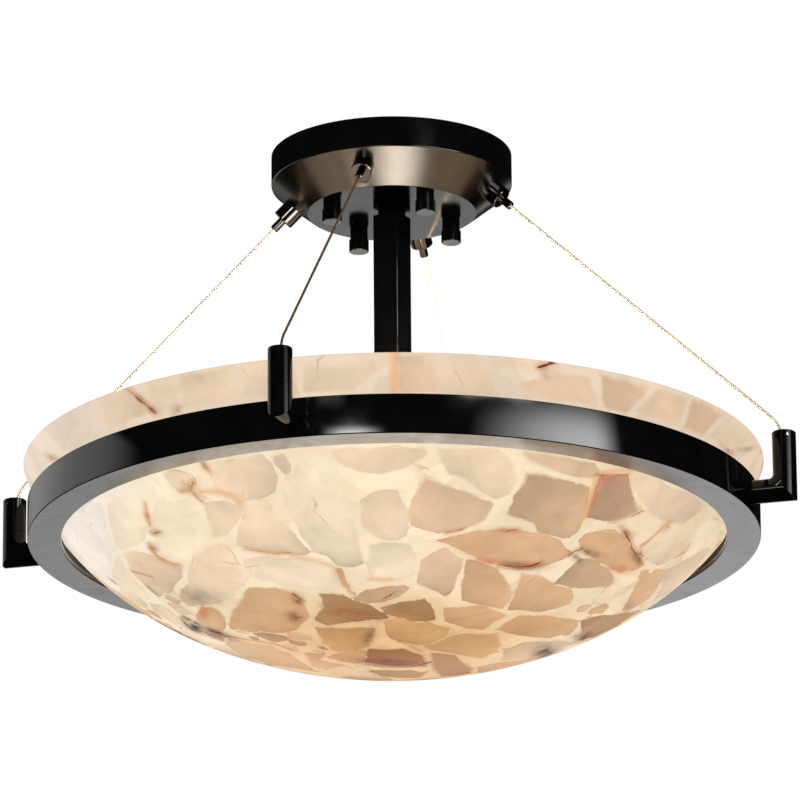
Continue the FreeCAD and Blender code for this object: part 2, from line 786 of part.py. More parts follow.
def build_cables():
    """Each cable: up out of its post, one bend, then straight through its gripper."""
    slope = math.radians(SIZES["cable_slope"])
    bend = SIZES["cable_bend"]
    turn = math.pi / 2 - slope
    tangent = bend * math.tan(turn / 2)
    run = (SIZES["post_radius_at"] - SIZES["gripper_base_radius"]) / math.cos(slope)
    corner_drop = SIZES["gripper_base_drop"] + run * math.sin(slope)
    foot_drop = SIZES["post_seam_drop"] - SIZES["cap_bore_tall"] + SIZES["stop_tall"]
    rise = foot_drop - corner_drop
    tail = run + SIZES["barrel_tail"] + SIZES["cable_tail"]
    stops = []
    for index, side in enumerate(SIDES):
        body = new_body(f"cable_{side}_body")
        profile = new_sketch(body, "XY_Plane")
        ring_line(profile, size("cable_radius"))
        path = new_sketch(body, "XZ_Plane")
        corner = Vector(0, rise, 0)
        inward = Vector(-math.cos(slope), math.sin(slope), 0)
        bend_start = corner - Vector(0, tangent, 0)
        bend_end = corner + inward * tangent
        centre = bend_start - Vector(bend, 0, 0)
        middle = (bend_start + bend_end) * 0.5 - centre
        through = centre + middle.normalize() * bend
        path.addGeometry(Part.LineSegment(Vector(), bend_start), False)
        path.addGeometry(Part.Arc(bend_start, through, bend_end), False)
        path.addGeometry(Part.LineSegment(bend_end, corner + inward * tail), False)
        pipe = body.newObject("PartDesign::AdditivePipe", f"cable_{side}_pipe")
        pipe.Profile = profile
        pipe.Spine = (path, ["Edge1", "Edge2", "Edge3"])
        spot = heading(side_azimuth(index)) * SIZES["post_radius_at"]
        body.Placement = Placement(spot - Vector(0, 0, foot_drop), turned(side_azimuth(index)))
        keep(f"cable_{side}", body)
        stop = revolve(f"cable_stop_{side}", [
            (size("cable_radius"), ZERO), (size("stop_radius"), ZERO),
            (size("stop_radius"), size("stop_tall") - size("stop_edge")),
            (size("stop_radius") - size("stop_edge"), size("stop_tall")),
            (size("cable_radius"), size("stop_tall"))])
        stop.Placement = Placement(spot - Vector(0, 0, foot_drop), Rotation())
        stops.append(stop)
    keep("cable_stops", group("cable_stops_group", stops))
    print(f"cable length {rise - tangent + bend * turn + tail - tangent:.1f} mm, bend {bend} mm")


# ---------------------------------------------------------------- posts


def elbow_bend(side, place, reach_in, seam_up):
    """Round bar turned through a mitred right angle, with a round throat inside the turn."""
    post, throat = size("post_radius"), size("elbow_inner_round")
    bend = new_body(f"elbow_{side}_bend")
    profile = new_sketch(bend, "YZ_Plane")
    ring_line(profile, post)
    profile.AttachmentOffset = Placement(Vector(0, 0, reach_in), Rotation())
    path = new_sketch(bend, "XZ_Plane")
    path.addGeometry(Part.LineSegment(Vector(reach_in, 0, 0), Vector()), False)
    path.addGeometry(Part.LineSegment(Vector(), Vector(0, seam_up, 0)), False)
    pipe = bend.newObject("PartDesign::AdditivePipe", f"elbow_{side}_pipe")
    pipe.Profile = profile
    pipe.Spine = (path, ["Edge1", "Edge2"])
    pipe.Transition = "Right corner"
    bend.Placement = place
    inner = doc.addObject("Part::Torus", f"elbow_{side}_throat")
    bind(inner, "Radius1", post + throat)
    bind(inner, "Radius2", post - size("elbow_throat_under"))
    inner.Angle3 = 90
    middle = (post + throat).number
    down_then_out = Rotation(Vector(0, 0, -1), Vector(1, 0, 0), Vector(0, -1, 0), "XYZ")
    inner.Placement = place * Placement(Vector(-middle, 0, middle), down_then_out)
    joined = doc.addObject("Part::Fuse", f"elbow_{side}_turn")
    joined.Base = bend
    joined.Tool = inner
    return joined


def elbow_block(side, place, reach_in, seam_up):
    """Block round an elbow with one rounded edge, which takes the point off the bend's heel."""
    post, width = SIZES["post_radius"], SIZES["post_radius"] + CLEAR
    heel = SIZES["elbow_heel_round"]
    block = doc.addObject("Part::Box", f"elbow_{side}_block")
    block.Length = post - reach_in + CLEAR
    block.Width = 2 * width
    block.Height = seam_up + post
    block.Placement = place * Placement(Vector(reach_in - CLEAR, -width, -post), Rotation())
    doc.recompute()
    lowest = []
    for number, edge in enumerate(block.Shape.Edges, start=1):
        spots = [place.inverse().multVec(end.Point) for end in edge.Vertexes]
        if all(abs(spot.x - post) < 0.01 and abs(spot.z + post) < 0.01 for spot in spots):
            lowest.append(number)
    rounded = doc.addObject("Part::Fillet", f"elbow_{side}_heel")
    rounded.Base = block
    rounded.Edges = [(number, heel, heel) for number in lowest]
    return rounded


def build_posts():
    """Mitred elbow on the ring, screwed cap with the cable's hole, and their screws."""
    spot_radius = SIZES["post_radius_at"]
    reach_in = SIZES["ring_radius"] - SIZES["arm_reach_in"] - spot_radius
    seam_up = SIZES["post_axis_drop"] - SIZES["post_seam_drop"]
    cap_tall = size("post_seam_drop") - size("post_top_drop")
    ring_core = cylinder("ring_core", size("ring_radius"), size("ring_tall") + CLEAR,
                         Placement(Vector(0, 0, -SIZES["ring_drop"] - CLEAR / 2), Rotation()))
    edge, seam = size("post_edge"), size("post_seam_edge")
    post = size("post_radius")
    spigot = size("spigot_radius")
    screws, arm_screws = [], []
    for index, side in enumerate(SIDES):
        azimuth = side_azimuth(index)
        axis_spot = heading(azimuth) * spot_radius - Vector(0, 0, SIZES["post_axis_drop"])
        place = Placement(axis_spot, turned(azimuth))
        bend = doc.addObject("Part::Common", f"elbow_{side}_trimmed")
        bend.Base = elbow_bend(side, place, reach_in, seam_up)
        bend.Tool = elbow_block(side, place, reach_in, seam_up)
        stub = cylinder(f"elbow_{side}_spigot", spigot, size("spigot_tall") + CLEAR,
                        Placement(axis_spot + Vector(0, 0, seam_up - CLEAR), Rotation()))
        whole = doc.addObject("Part::Fuse", f"elbow_{side}_whole")
        whole.Base = bend
        whole.Tool = stub
        screw_start = SIZES["ring_radius"] - SIZES["ring_thick"]
        screw_axis = Rotation(Vector(0, 0, 1), heading(azimuth))
        screw_spot = (heading(azimuth) * (screw_start - SIZES["arm_screw_set_in"])
                      - Vector(0, 0, SIZES["post_axis_drop"]))
        thread = cylinder(f"elbow_{side}_thread", size("arm_screw_radius"),
                          size("arm_screw_depth") + size("ring_thick"),
                          Placement(screw_spot, screw_axis))
        keep(f"post_elbow_{side}", cut(f"elbow_{side}", whole, ring_core, thread))
        head, shank = size("arm_screw_head_radius"), size("arm_screw_radius")
        head_top = -size("arm_screw_head_tall")
        screw = revolve(f"arm_screw_{side}", [
            (ZERO, head_top), (head - size("arm_screw_head_slope"), head_top),
            (head, -size("arm_screw_head_rim")), (head, ZERO), (shank, ZERO),
            (shank, size("arm_screw_depth")), (ZERO, size("arm_screw_depth"))])
        screw.Placement = Placement(screw_spot, screw_axis)
        arm_screws.append(screw)

        bore_top = size("cap_bore_tall")
        hole = size("cap_cable_hole")
        shell = revolve(f"cap_{side}_shell", [
            (spigot, ZERO), (post - seam, ZERO), (post, seam), (post, cap_tall - edge),
            (post - edge, cap_tall),
            (hole, cap_tall), (hole, bore_top), (spigot, bore_top)])
        seam_spot = heading(azimuth) * spot_radius - Vector(0, 0, SIZES["post_seam_drop"])
        shell.Placement = Placement(seam_spot, turned(azimuth))
        grub_axis = Rotation(Vector(0, 0, 1), heading(azimuth + SET_SCREW_TURNS[index]))
        grub_spot = seam_spot + Vector(0, 0, cap_tall.number - SIZES["set_screw_below_top"])
        tapped = cylinder(f"cap_{side}_tapped", size("set_screw_radius"), post * 2.0,
                          Placement(grub_spot, grub_axis))
        keep(f"post_cap_{side}", cut(f"cap_{side}", shell, tapped))
        start = SIZES["post_radius"] - SIZES["set_screw_sunk"] - SIZES["set_screw_long"]
        screws.append(cylinder(f"cap_screw_{side}", size("set_screw_radius"),
                               size("set_screw_long"),
                               Placement(grub_spot, grub_axis)
                               * Placement(Vector(0, 0, start), Rotation())))
    keep("cap_set_screws", group("cap_screws_group", screws))
    keep("arm_screws", group("arm_screws_group", arm_screws))


# ---------------------------------------------------------------- ring, seat and bowl


def build_ring():
    """Steel angle rolled into a ring: upright wall outside, flat flange turned in."""
    outer, thick = size("ring_radius"), size("ring_thick")
    foot, top = -size("ring_drop"), -size("ring_drop") + size("ring_tall")
    ring = revolve("angle_ring_body", [
        (outer - size("ring_flange"), foot), (outer, foot), (outer, top), (outer - thick, top),
        (outer - thick, foot + thick), (outer - size("ring_flange"), foot + thick)])

    def bare_edge(edge):
        if not isinstance(edge.Curve, Part.Circle):
            return False
        inside = abs(edge.Curve.Radius - (outer - thick).number) < 0.01
        return not (inside and abs(edge.Curve.Center.z - (foot + thick).number) < 0.01)

    round_edges(ring, "edge_round", size("ring_edge"), bare_edge)
    holes = [cylinder(f"ring_hole_{i}", size("arm_screw_radius"), size("ring_thick") * 3.0,
                      Placement(heading(side_azimuth(i)) * (outer.number - 2 * thick.number)
                                - Vector(0, 0, SIZES["post_axis_drop"]),
                                Rotation(Vector(0, 0, 1), heading(side_azimuth(i)))))
             for i in range(4)]
    keep("angle_ring", cut("angle_ring_holes", ring, *holes))


def bowl_radius_at(rise):
    """Outer radius of the bowl at a height above its full ellipse's middle."""
    share = rise / SIZES["bowl_depth_full"]
    return SIZES["bowl_radius_full"] * math.sqrt(1 - share * share)


def build_seat():
    """Rubber seat on the flange, shaped to the bowl's outside."""
    foot_up = SIZES["ring_drop"] - SIZES["ring_thick"]
    top_up = foot_up - SIZES["seat_tall"]
    gap = SIZES["seat_gap"]
    middle_up = (foot_up + top_up) / 2
    inside = [max(bowl_radius_at(SIZES["bowl_centre_drop"] - up) + gap,
                  SIZES["ring_radius"] - SIZES["ring_flange"] + SIZES["seat_low_gap"])
              for up in (foot_up, middle_up, top_up)]
    outer = SIZES["seat_outer_radius"]
    corners = [(outer, foot_up), (outer, top_up), (inside[2], top_up), (inside[1], middle_up),
               (inside[0], middle_up), (inside[0], foot_up)]
    spots = [Vector(radius, 0, -up) for radius, up in dict.fromkeys(corners)]
    face = Part.Face(Part.makePolygon(spots + spots[:1]))
    seat = doc.addObject("Part::Feature", "bowl_seat_shape")
    seat.Shape = face.revolve(Vector(), Vector(0, 0, 1), 360)
    keep("bowl_seat", seat)


def build_bowl():
    """Thick stone bowl: one ellipsoid inside another, cut level at the rim."""
    middle = Placement(Vector(0, 0, -SIZES["bowl_centre_drop"]), Rotation())
    shells = []
    for name, inset in (("bowl_outside", ZERO), ("bowl_inside", size("bowl_wall"))):
        shell = doc.addObject("Part::Ellipsoid", name)
        bind(shell, "Radius1", size("bowl_depth_full") - inset)
        bind(shell, "Radius2", size("bowl_radius_full") - inset)
        bind(shell, "Radius3", size("bowl_radius_full") - inset)
        shell.Placement = middle
        shells.append(shell)
    above = cylinder("bowl_above", size("bowl_radius_full") + CLEAR, size("bowl_depth_full") * 2.0,
                     Placement(Vector(0, 0, -SIZES["bowl_rim_drop"]), Rotation()))
    open_bowl = cut("bowl_cut", *shells, above)
    doc.recompute()
    soft = SIZES["bowl_rim_round"]
    level = -SIZES["bowl_rim_drop"]
    rim = [number for number, edge in enumerate(open_bowl.Shape.Edges, start=1)
           if abs(edge.BoundBox.ZMin - level) < 0.01 and abs(edge.BoundBox.ZMax - level) < 0.01]
    bowl = doc.addObject("Part::Fillet", "bowl_rim")
    bowl.Base = open_bowl
    bowl.Edges = [(number, soft, soft) for number in rim]
    keep("bowl", bowl)


def check_and_write():
    """Stop on any failed object or empty shape, then write one file per node."""
    doc.recompute()
    for thing in doc.Objects:
        if {"Invalid", "Error"} & set(thing.State):
            raise ValueError(f"{thing.Name} failed: {thing.State}")
    os.makedirs("parts", exist_ok=True)
    for piece in nodes:
        shape = piece.Shape
        if shape.isNull() or not shape.isValid() or not shape.Solids:
            raise ValueError(f"{piece.Label} has no valid solid")
        shape.exportStep(f"parts/{piece.Label}.step")
    print(f"{len(nodes)} nodes written")


build_mounting_plate()
build_studs()
build_ground_screw()
build_canopy()
build_thumb_nuts()
build_stem()
build_cluster()
build_lamps()
build_grippers()
build_cables()
build_posts()
build_ring()
build_seat()
build_bowl()
check_and_write()
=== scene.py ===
"""Looks of a semi flush ceiling light.

A glowing bowl of stone chips rests in a black angle ring.  Four steel cables hang the ring from
a round ceiling canopy, and a square stem carries the lamp cluster inside the bowl.  Lengths are
in millimetres until a mesh is written in metres.  +Z is up, the ceiling plane is z = 0, and
azimuths turn about Z from -Y towards +X.
"""

import json
import logging
import math
from collections.abc import Iterable, Sequence
from dataclasses import dataclass
from enum import Enum

import bpy
import numpy as np
from mathutils import Matrix, Vector


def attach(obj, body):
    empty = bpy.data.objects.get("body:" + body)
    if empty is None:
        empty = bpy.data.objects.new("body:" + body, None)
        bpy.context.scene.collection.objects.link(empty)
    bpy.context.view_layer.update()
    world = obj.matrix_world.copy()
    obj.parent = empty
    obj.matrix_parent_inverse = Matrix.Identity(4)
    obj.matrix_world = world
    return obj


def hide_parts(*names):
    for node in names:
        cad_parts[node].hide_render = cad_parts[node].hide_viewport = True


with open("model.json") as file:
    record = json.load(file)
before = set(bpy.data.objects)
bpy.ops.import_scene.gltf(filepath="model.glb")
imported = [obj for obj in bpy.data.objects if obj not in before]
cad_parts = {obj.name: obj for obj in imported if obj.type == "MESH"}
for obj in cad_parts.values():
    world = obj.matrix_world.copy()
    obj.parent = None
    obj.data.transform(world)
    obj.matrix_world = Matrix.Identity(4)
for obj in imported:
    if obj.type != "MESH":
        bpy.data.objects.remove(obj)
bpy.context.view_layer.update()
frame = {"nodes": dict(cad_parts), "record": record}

LOG = logging.getLogger("ceiling_light")
MM = 0.001
SIDES = ("front", "right", "back", "left")

# A length under TINY is nothing, and so is a bend in radians or a lean under STRAIGHT.
TINY = 1e-6
STRAIGHT = 1e-3
ARC_STEPS = 5
# Most of a noise's values lie within this span.
NOISE_SPAN = (0.3, 0.7)

Colour = tuple[float, float, float, float]
Span = tuple[float, float]
Triple = tuple[float, float, float]
Pixel = tuple[int, int]
Socket = bpy.types.NodeSocket


# ---- geometry helpers


def heading(azimuth: float) -> Vector:
    """Level unit vector at an azimuth in degrees, from -Y towards +X."""
    turn = math.radians(azimuth)
    return Vector((math.sin(turn), -math.cos(turn), 0.0))


@dataclass(frozen=True)
class Corner:
    """One corner of a turned profile, in mm: distance from the axis, height, and rounding."""

    out: float
    up: float
    rounding: float = 0.0


def rounded_line(corners: Sequence[Corner], closed: bool) -> tuple[np.ndarray, np.ndarray]:
    """Turns corners into points with their outward normals, each corner rounded by an arc.

    Args:
        corners: the corners, with the solid on the left of their direction.
        closed: whether the last corner joins the first.

    Returns:
        Points and unit normals, as two arrays of two columns.
    """
    spots = [np.array((c.out, c.up)) for c in corners]
    count = len(corners)
    points, normals = [], []
    for index, corner in enumerate(corners):
        here = spots[index]
        if not closed and index in (0, count - 1):
            ahead = spots[1] - here if index == 0 else here - spots[-2]
            ahead = ahead / np.linalg.norm(ahead)
            points.append(here)
            normals.append(np.array((ahead[1], -ahead[0])))
            continue
        before = here - spots[index - 1]
        after = spots[(index + 1) % count] - here
        before, after = before / np.linalg.norm(before), after / np.linalg.norm(after)
        first = np.array((before[1], -before[0]))
        last = np.array((after[1], -after[0]))
        bend = math.acos(max(-1.0, min(1.0, float(before @ after))))
        convex = before[0] * after[1] - before[1] * after[0] > 0
        if bend < STRAIGHT or corner.rounding == 0:
            points.append(here)
            mean = first + last
            normals.append(mean / np.linalg.norm(mean))
            continue
        reach = corner.rounding * math.tan(bend / 2)
        side = -first if convex else first
        centre = here - before * reach + side * corner.rounding
        for step in range(ARC_STEPS + 1):
            share = step / ARC_STEPS
            mixed = math.sin((1 - share) * bend) * first + math.sin(share * bend) * last
            mixed = mixed / math.sin(bend)
            points.append(centre + mixed * corner.rounding * (1 if convex else -1))
            normals.append(mixed)
    return np.array(points), np.array(normals)


def new_object(name: str, verts: np.ndarray, faces: Iterable[Sequence[int]],
               normals: np.ndarray | None = None) -> bpy.types.Object:
    """Makes a mesh object from points in mm.

    Args:
        name: the piece's name.
        verts: points, three columns, in mm.
        faces: vertex indices of each face.
        normals: a normal for each point, or None for averaged ones.

    Returns:
        The object, smooth shaded and linked to the scene.
    """
    mesh = bpy.data.meshes.new(name)
    mesh.from_pydata((verts * MM).tolist(), [], [tuple(f) for f in faces])
    mesh.shade_smooth()
    if normals is not None:
        mesh.normals_split_custom_set_from_vertices(normals.tolist())
    mesh.update()
    thing = bpy.data.objects.new(name, mesh)
    bpy.context.scene.collection.objects.link(thing)
    return thing


def turned(name: str, points: np.ndarray, normals: np.ndarray, closed: bool,
           turns: int) -> bpy.types.Object:
    """Turns a profile about the Z axis.

    Args:
        name: the piece's name.
        points: profile points, distance from the axis and height, in mm.
        normals: their normals in the same plane.
        closed: whether the last point joins the first.
        turns: steps round the axis.

    Returns:
        The turned piece.
    """
    angles = np.linspace(0, 2 * math.pi, turns, endpoint=False)
    ways = np.stack([np.cos(angles), np.sin(angles)], axis=1)
    verts, facing, rows = [], [], []
    for (out, up), (lean, rise) in zip(points, normals):
        if out < TINY:
            rows.append([len(verts)] * turns)
            verts.append((0.0, 0.0, up))
            facing.append((0.0, 0.0, math.copysign(1.0, rise)))
            continue
        rows.append(list(range(len(verts), len(verts) + turns)))
        verts.extend((out * c, out * s, up) for c, s in ways)
        facing.extend((lean * c, lean * s, rise) for c, s in ways)
    faces = []
    joins = len(rows) if closed else len(rows) - 1
    for index in range(joins):
        low, high = rows[index], rows[(index + 1) % len(rows)]
        for step in range(turns):
            ahead = (step + 1) % turns
            ring = [low[step], low[ahead], high[ahead], high[step]]
            faces.append(list(dict.fromkeys(ring)))
    outward = np.array(facing)
    outward /= np.linalg.norm(outward, axis=1)[:, None]
    return new_object(name, np.array(verts), faces, outward)


# ---- node graphs


class Graph:
    """A node tree that is filled one node at a time."""

    def __init__(self, tree: bpy.types.NodeTree) -> None:
        """Starts on an empty tree.

        Args:
            tree: the material's or the world's node tree.
        """
        self.tree = tree
        self.tree.nodes.clear()

    def add(self, kind: str, settings: dict | None = None, **inputs: object) -> bpy.types.Node:
        """Adds a node.

        Args:
            kind: the node's type, less its ShaderNode prefix.
            settings: properties to set on it.
            inputs: sockets by name, with _ for a space; an output socket is linked.

        Returns:
            The node.
        """
        node = self.tree.nodes.new("ShaderNode" + kind)
        for key, value in (settings or {}).items():
            setattr(node, key, value)
        for key, value in inputs.items():
            self.feed(node.inputs[key.replace("_", " ")], value)
        return node

    def feed(self, socket: Socket, value: object) -> None:
        """Links an output to a socket, or sets the socket's own value.

        Args:
            socket: the socket.
            value: an output, or a plain value.
        """
        if isinstance(value, Socket):
            self.tree.links.new(value, socket)
        else:
            socket.default_value = value

    def here(self) -> Socket:
        """The object's own coordinates, in metres."""
        return self.add("TexCoord").outputs["Object"]

    def apart(self, vector: Socket) -> bpy.types.NodeOutputs:
        """The X, Y and Z of a vector."""
        return self.add("SeparateXYZ", Vector=vector).outputs

    def surface(self, base: Socket, rough: Socket, normal: Socket, **inputs: object) -> Socket:
        """Adds a Principled shader.

        Args:
            base: its base colour.
            rough: its roughness.
            normal: its bent normal.
            inputs: its other sockets by name, with _ for a space.

        Returns:
            Its output.
        """
        return self.add("BsdfPrincipled", Base_Color=base, Roughness=rough, Normal=normal,
                        **inputs).outputs["BSDF"]

    def joined(self, share: object, first: bpy.types.Node,
               second: bpy.types.Node) -> bpy.types.Node:
        """Mixes two shaders.

        Args:
            share: how much of the second, 0 to 1.
            first: a shader's node.
            second: a shader's node.

        Returns:
            The mix's node.
        """
        node = self.add("MixShader", Fac=share)
        self.feed(node.inputs[1], first.outputs[0])
        self.feed(node.inputs[2], second.outputs[0])
        return node

    def end(self, shader: Socket, kind: str = "OutputMaterial") -> None:
        """Leads a shader to the tree's output."""
        self.feed(self.add(kind).inputs["Surface"], shader)

    def math(self, operation: str, *values: object) -> Socket:
        """Adds a Math node.

        Args:
            operation: the node's operation.
            values: its numbers or output sockets, in order.

        Returns:
            Its output.
        """
        node = self.add("Math", {"operation": operation})
        for socket, value in zip(node.inputs, values):
            self.feed(socket, value)
        return node.outputs[0]

    def noise(self, scale: float, detail: float = 4.0, roughness: float = 0.5,
              distortion: float = 0.0, where: object = None) -> Socket:
        """Adds noise.

        Args:
            scale: its cells per metre.
            detail: its octaves.
            roughness: how strong the fine ones are.
            distortion: how far it is warped.
            where: a vector output, or None for the object's own coordinates.

        Returns:
            Its factor.
        """
        node = self.add("TexNoise", Vector=where or self.here(), Scale=scale, Detail=detail,
                        Roughness=roughness, Distortion=distortion)
        return node.outputs["Fac"]

    def spread(self, value: object, low: float, high: float, to_low: float = 0.0,
               to_high: float = 1.0, smooth: bool = False) -> Socket:
        """Maps a number from one range to another and clamps it.

        Args:
            value: the number's output socket.
            low: start of its range.
            high: end of its range.
            to_low: what low becomes.
            to_high: what high becomes.
            smooth: whether it eases in and out.

        Returns:
            The mapped number.
        """
        node = self.add("MapRange", {"interpolation_type": "SMOOTHSTEP" if smooth else "LINEAR"})
        for name, number in (("Value", value), ("From Min", low), ("From Max", high),
                             ("To Min", to_low), ("To Max", to_high)):
            self.feed(node.inputs[name], number)
        return node.outputs["Result"]

    def blend(self, share: object, first: object, second: object, kind: str = "MIX") -> Socket:
        """Mixes two colours.

        Args:
            share: how much of the second, 0 to 1.
            first: a colour or an output.
            second: a colour or an output.
            kind: the blend type.

        Returns:
            The mixed colour.
        """
        node = self.add("Mix", {"data_type": "RGBA", "blend_type": kind})
        self.feed(node.inputs["Factor"], share)
        self.feed(node.inputs[6], first)
        self.feed(node.inputs[7], second)
        return node.outputs[2]

    def veiled(self, body: object, cloud: object, low: float, high: float,
               start: float = NOISE_SPAN[0],
               end: float = NOISE_SPAN[1]) -> Socket:
        """Darkens and lightens a colour by a cloud.

        Args:
            body: the colour.
            cloud: the cloud's output.
            low: what the colour is multiplied by where the cloud is at start.
            high: the same where it is at end.
            start: the cloud's low value.
            end: the cloud's high value.

        Returns:
            The colour.
        """
        veil = self.spread(cloud, start, end, low, high)
        grey = self.add("CombineColor", Red=veil, Green=veil, Blue=veil).outputs[0]
        return self.blend(1.0, body, grey, "MULTIPLY")

    def bump(self, height: object, strength: float, depth: float) -> Socket:
        """Adds a bump from a height.

        Args:
            height: the height's output.
            strength: how much of it shows.
            depth: its depth in mm.

        Returns:
            The bent normal.
        """
        node = self.add("Bump", Strength=strength, Distance=depth * MM, Height=height)
        return node.outputs["Normal"]


def new_material(title: str) -> tuple[bpy.types.Material, Graph]:
    """Makes a material.

    Args:
        title: its name.

    Returns:
        The material and its empty graph.
    """
    made = bpy.data.materials.new(title)
    made.use_nodes = True
    return made, Graph(made.node_tree)


def colour(red: float, green: float, blue: float) -> Colour:
    """A colour as the shader sockets take it, from linear parts."""
    return (red, green, blue, 1.0)


def screen_colour(red: int, green: int, blue: int) -> Colour:
    """A colour as the shader sockets take it, from 0 to 255 parts as a screen shows them.

    Args:
        red: its red part.
        green: its green part.
        blue: its blue part.

    Returns:
        The colour in linear parts, by the sRGB curve.
    """
    parts = []
    for part in (red, green, blue):
        share = part / 255
        parts.append(share / 12.92 if share <= 0.04045 else ((share + 0.055) / 1.055) ** 2.4)
    return colour(*parts)


# ---- finishes


class Finish:
    """A finish, whose material is made once and shared.

    Its title is never the name of a material slot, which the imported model's materials have.
    """

    title: str

    def material(self) -> bpy.types.Material:
        """Finds the finish's material, or makes it on first use.

        Returns:
            The material.
        """
        known = bpy.data.materials.get(self.title)
        if known:
            return known
        made, graph = new_material(self.title)
        graph.end(self.shader(graph))
        return made

    def shader(self, graph: Graph) -> Socket:
        """Builds the finish's shader in the graph and returns its output."""
        raise NotImplementedError

    def dress(self, thing: bpy.types.Object, slot: str | None = None) -> None:
        """Gives a piece this finish.

        Args:
            thing: the piece.
            slot: the record's material slot, for a new piece; not used.
        """
        if thing.material_slots:
            for holder in thing.material_slots:
                holder.material = self.material()
        else:
            thing.data.materials.append(self.material())


@dataclass(frozen=True)
class Mottled(Finish):
    """A surface mottled between two tints, with uneven roughness and a fine bump.

    The mottle and the grain are noise: cells per metre, octaves and roughness.  Without a grain
    the mottle makes the bump, whose relief is its strength and its depth in mm.
    """

    title: str
    first: Colour
    second: Colour
    gloss: Span = (0.1, 0.2)
    mottle: Triple = (60.0, 5.0, 0.6)
    contrast: Span = (0.0, 1.0)
    grain: Triple | None = None
    relief: Span = (0.25, 0.004)
    metallic: float = 0.0
    specular: float = 0.5
    index: float = 1.5
    coat: float = 0.0
    coat_gloss: float = 0.05

    def shader(self, graph: Graph) -> Socket:
        """Two tints mixed by a cloud, which also makes the roughness uneven.

        Args:
            graph: the material's graph.

        Returns:
            The shader's output.
        """
        cloud = graph.noise(*self.mottle)
        base = graph.blend(graph.spread(cloud, *self.contrast), self.first, self.second)
        rough = graph.spread(cloud, *NOISE_SPAN, *self.gloss)
        normal = graph.bump(graph.noise(*self.grain) if self.grain else cloud, *self.relief)
        return graph.surface(base, rough, normal, Metallic=self.metallic, IOR=self.index,
                             Specular_IOR_Level=self.specular, Coat_Weight=self.coat,
                             Coat_Roughness=self.coat_gloss)


@dataclass(frozen=True)
class Metal(Mottled):
    """A plated or bare metal, or a painted one."""

    contrast: Span = NOISE_SPAN
    grain: Triple | None = (1800.0, 2.0, 0.5)
    metallic: float = 1.0


@dataclass(frozen=True)
class BlackPlate(Mottled):
    """Black plating under clear lacquer: dark face on, brighter where it is seen at a slant."""

    first: Colour = colour(0.001, 0.001, 0.0012)
    second: Colour = colour(0.0025, 0.0024, 0.0025)
    gloss: Span = (0.05, 0.1)
    mottle: Triple = (45.0, 5.0, 0.6)
    contrast: Span = NOISE_SPAN
    grain: Triple | None = (1500.0, 2.0, 0.5)
    relief: Span = (0.2, 0.003)
    index: float = 1.55


@dataclass(frozen=True)
class AgedWire(Mottled):
    """Bronze coloured wire, mottled finely."""

    gloss: Span = (0.32, 0.45)
    mottle: Triple = (260.0, 4.0, 0.6)
    relief: Span = (0.2, 0.01)
    metallic: float = 0.05
    specular: float = 0.3


@dataclass(frozen=True)
class EndPlate(Finish):
    """Black plating whose downward ends are bare and bright."""

    title: str
    tint: Colour
    black: Colour = colour(0.001, 0.001, 0.001)
    black_shade: Colour = colour(0.002, 0.002, 0.002)
    index: float = 1.4
    side_gloss: Span = (0.08, 0.14)
    end_gloss: Span = (0.12, 0.2)
    bare_below: Span = (-0.8, -0.95)

    def shader(self, graph: Graph) -> Socket:
        """Black body, mixed with bare metal where the surface faces down.

        Args:
            graph: the material's graph.

        Returns:
            The shader's output.
        """
        cloud = graph.spread(graph.noise(90.0, 5.0, 0.6), *NOISE_SPAN)
        dark = graph.blend(cloud, self.black, self.black_shade)
        normal = graph.bump(graph.noise(1500.0, 2.0), 0.2, 0.003)
        side = graph.add("BsdfPrincipled", Base_Color=dark, Normal=normal, IOR=self.index,
                         Roughness=graph.spread(cloud, 0.0, 1.0, *self.side_gloss))
        bare = graph.veiled(self.tint, cloud, 0.85, 1.1, 0.0, 1.0)
        end = graph.add("BsdfPrincipled", Base_Color=bare, Normal=normal, Metallic=1.0,
                        Roughness=graph.spread(cloud, 0.0, 1.0, *self.end_gloss))
        facing = graph.add("NewGeometry").outputs["Normal"]
        share = graph.spread(graph.apart(facing)["Z"], *self.bare_below)
        return graph.joined(share, side, end).outputs[0]


@dataclass(frozen=True)
class RolledSteel(Finish):
    """Dull rolled steel with cloudy patches, painted light and shade from left to right, and a
    cool tint painted in front.
    """

    title: str
    # Painted light and shade: dark at the left, bright at the right, and a cool tint in front.
    dark: Colour = colour(0.29, 0.29, 0.295)
    painted_lit_steel: Colour = colour(0.47, 0.465, 0.48)
    painted_cool_tint: Colour = colour(0.52, 0.60, 0.74)
    painted_light_right: Span = (-0.22, 0.22)
    painted_cool_front: Span = (-0.14, -0.21)

    def shader(self, graph: Graph) -> Socket:
        """Cloudy steel, with painted shade to the left, painted light to the right and a cool tint
        painted in front.

        Args:
            graph: the material's graph.

        Returns:
            The shader's output.
        """
        parts = graph.apart(graph.here())
        patch = graph.noise(24.0, 4.0, 0.6, 0.6)
        # Painted light and shade: lighter to the right, darker to the left, and cooler in front.
        right = graph.spread(parts["X"], *self.painted_light_right)
        base = graph.blend(right, self.dark, self.painted_lit_steel)
        front = graph.spread(parts["Y"], *self.painted_cool_front, smooth=True)
        base = graph.blend(front, base, self.painted_cool_tint)
        base = graph.veiled(base, patch, 0.74, 1.1, 0.36, 0.56)
        base = graph.veiled(base, graph.noise(150.0, 3.0), 0.95, 1.05)
        normal = graph.bump(graph.noise(1800.0, 2.0), 0.25, 0.004)
        rough = graph.spread(patch, *NOISE_SPAN, 0.2, 0.3)
        return graph.surface(base, rough, normal, Metallic=1.0)


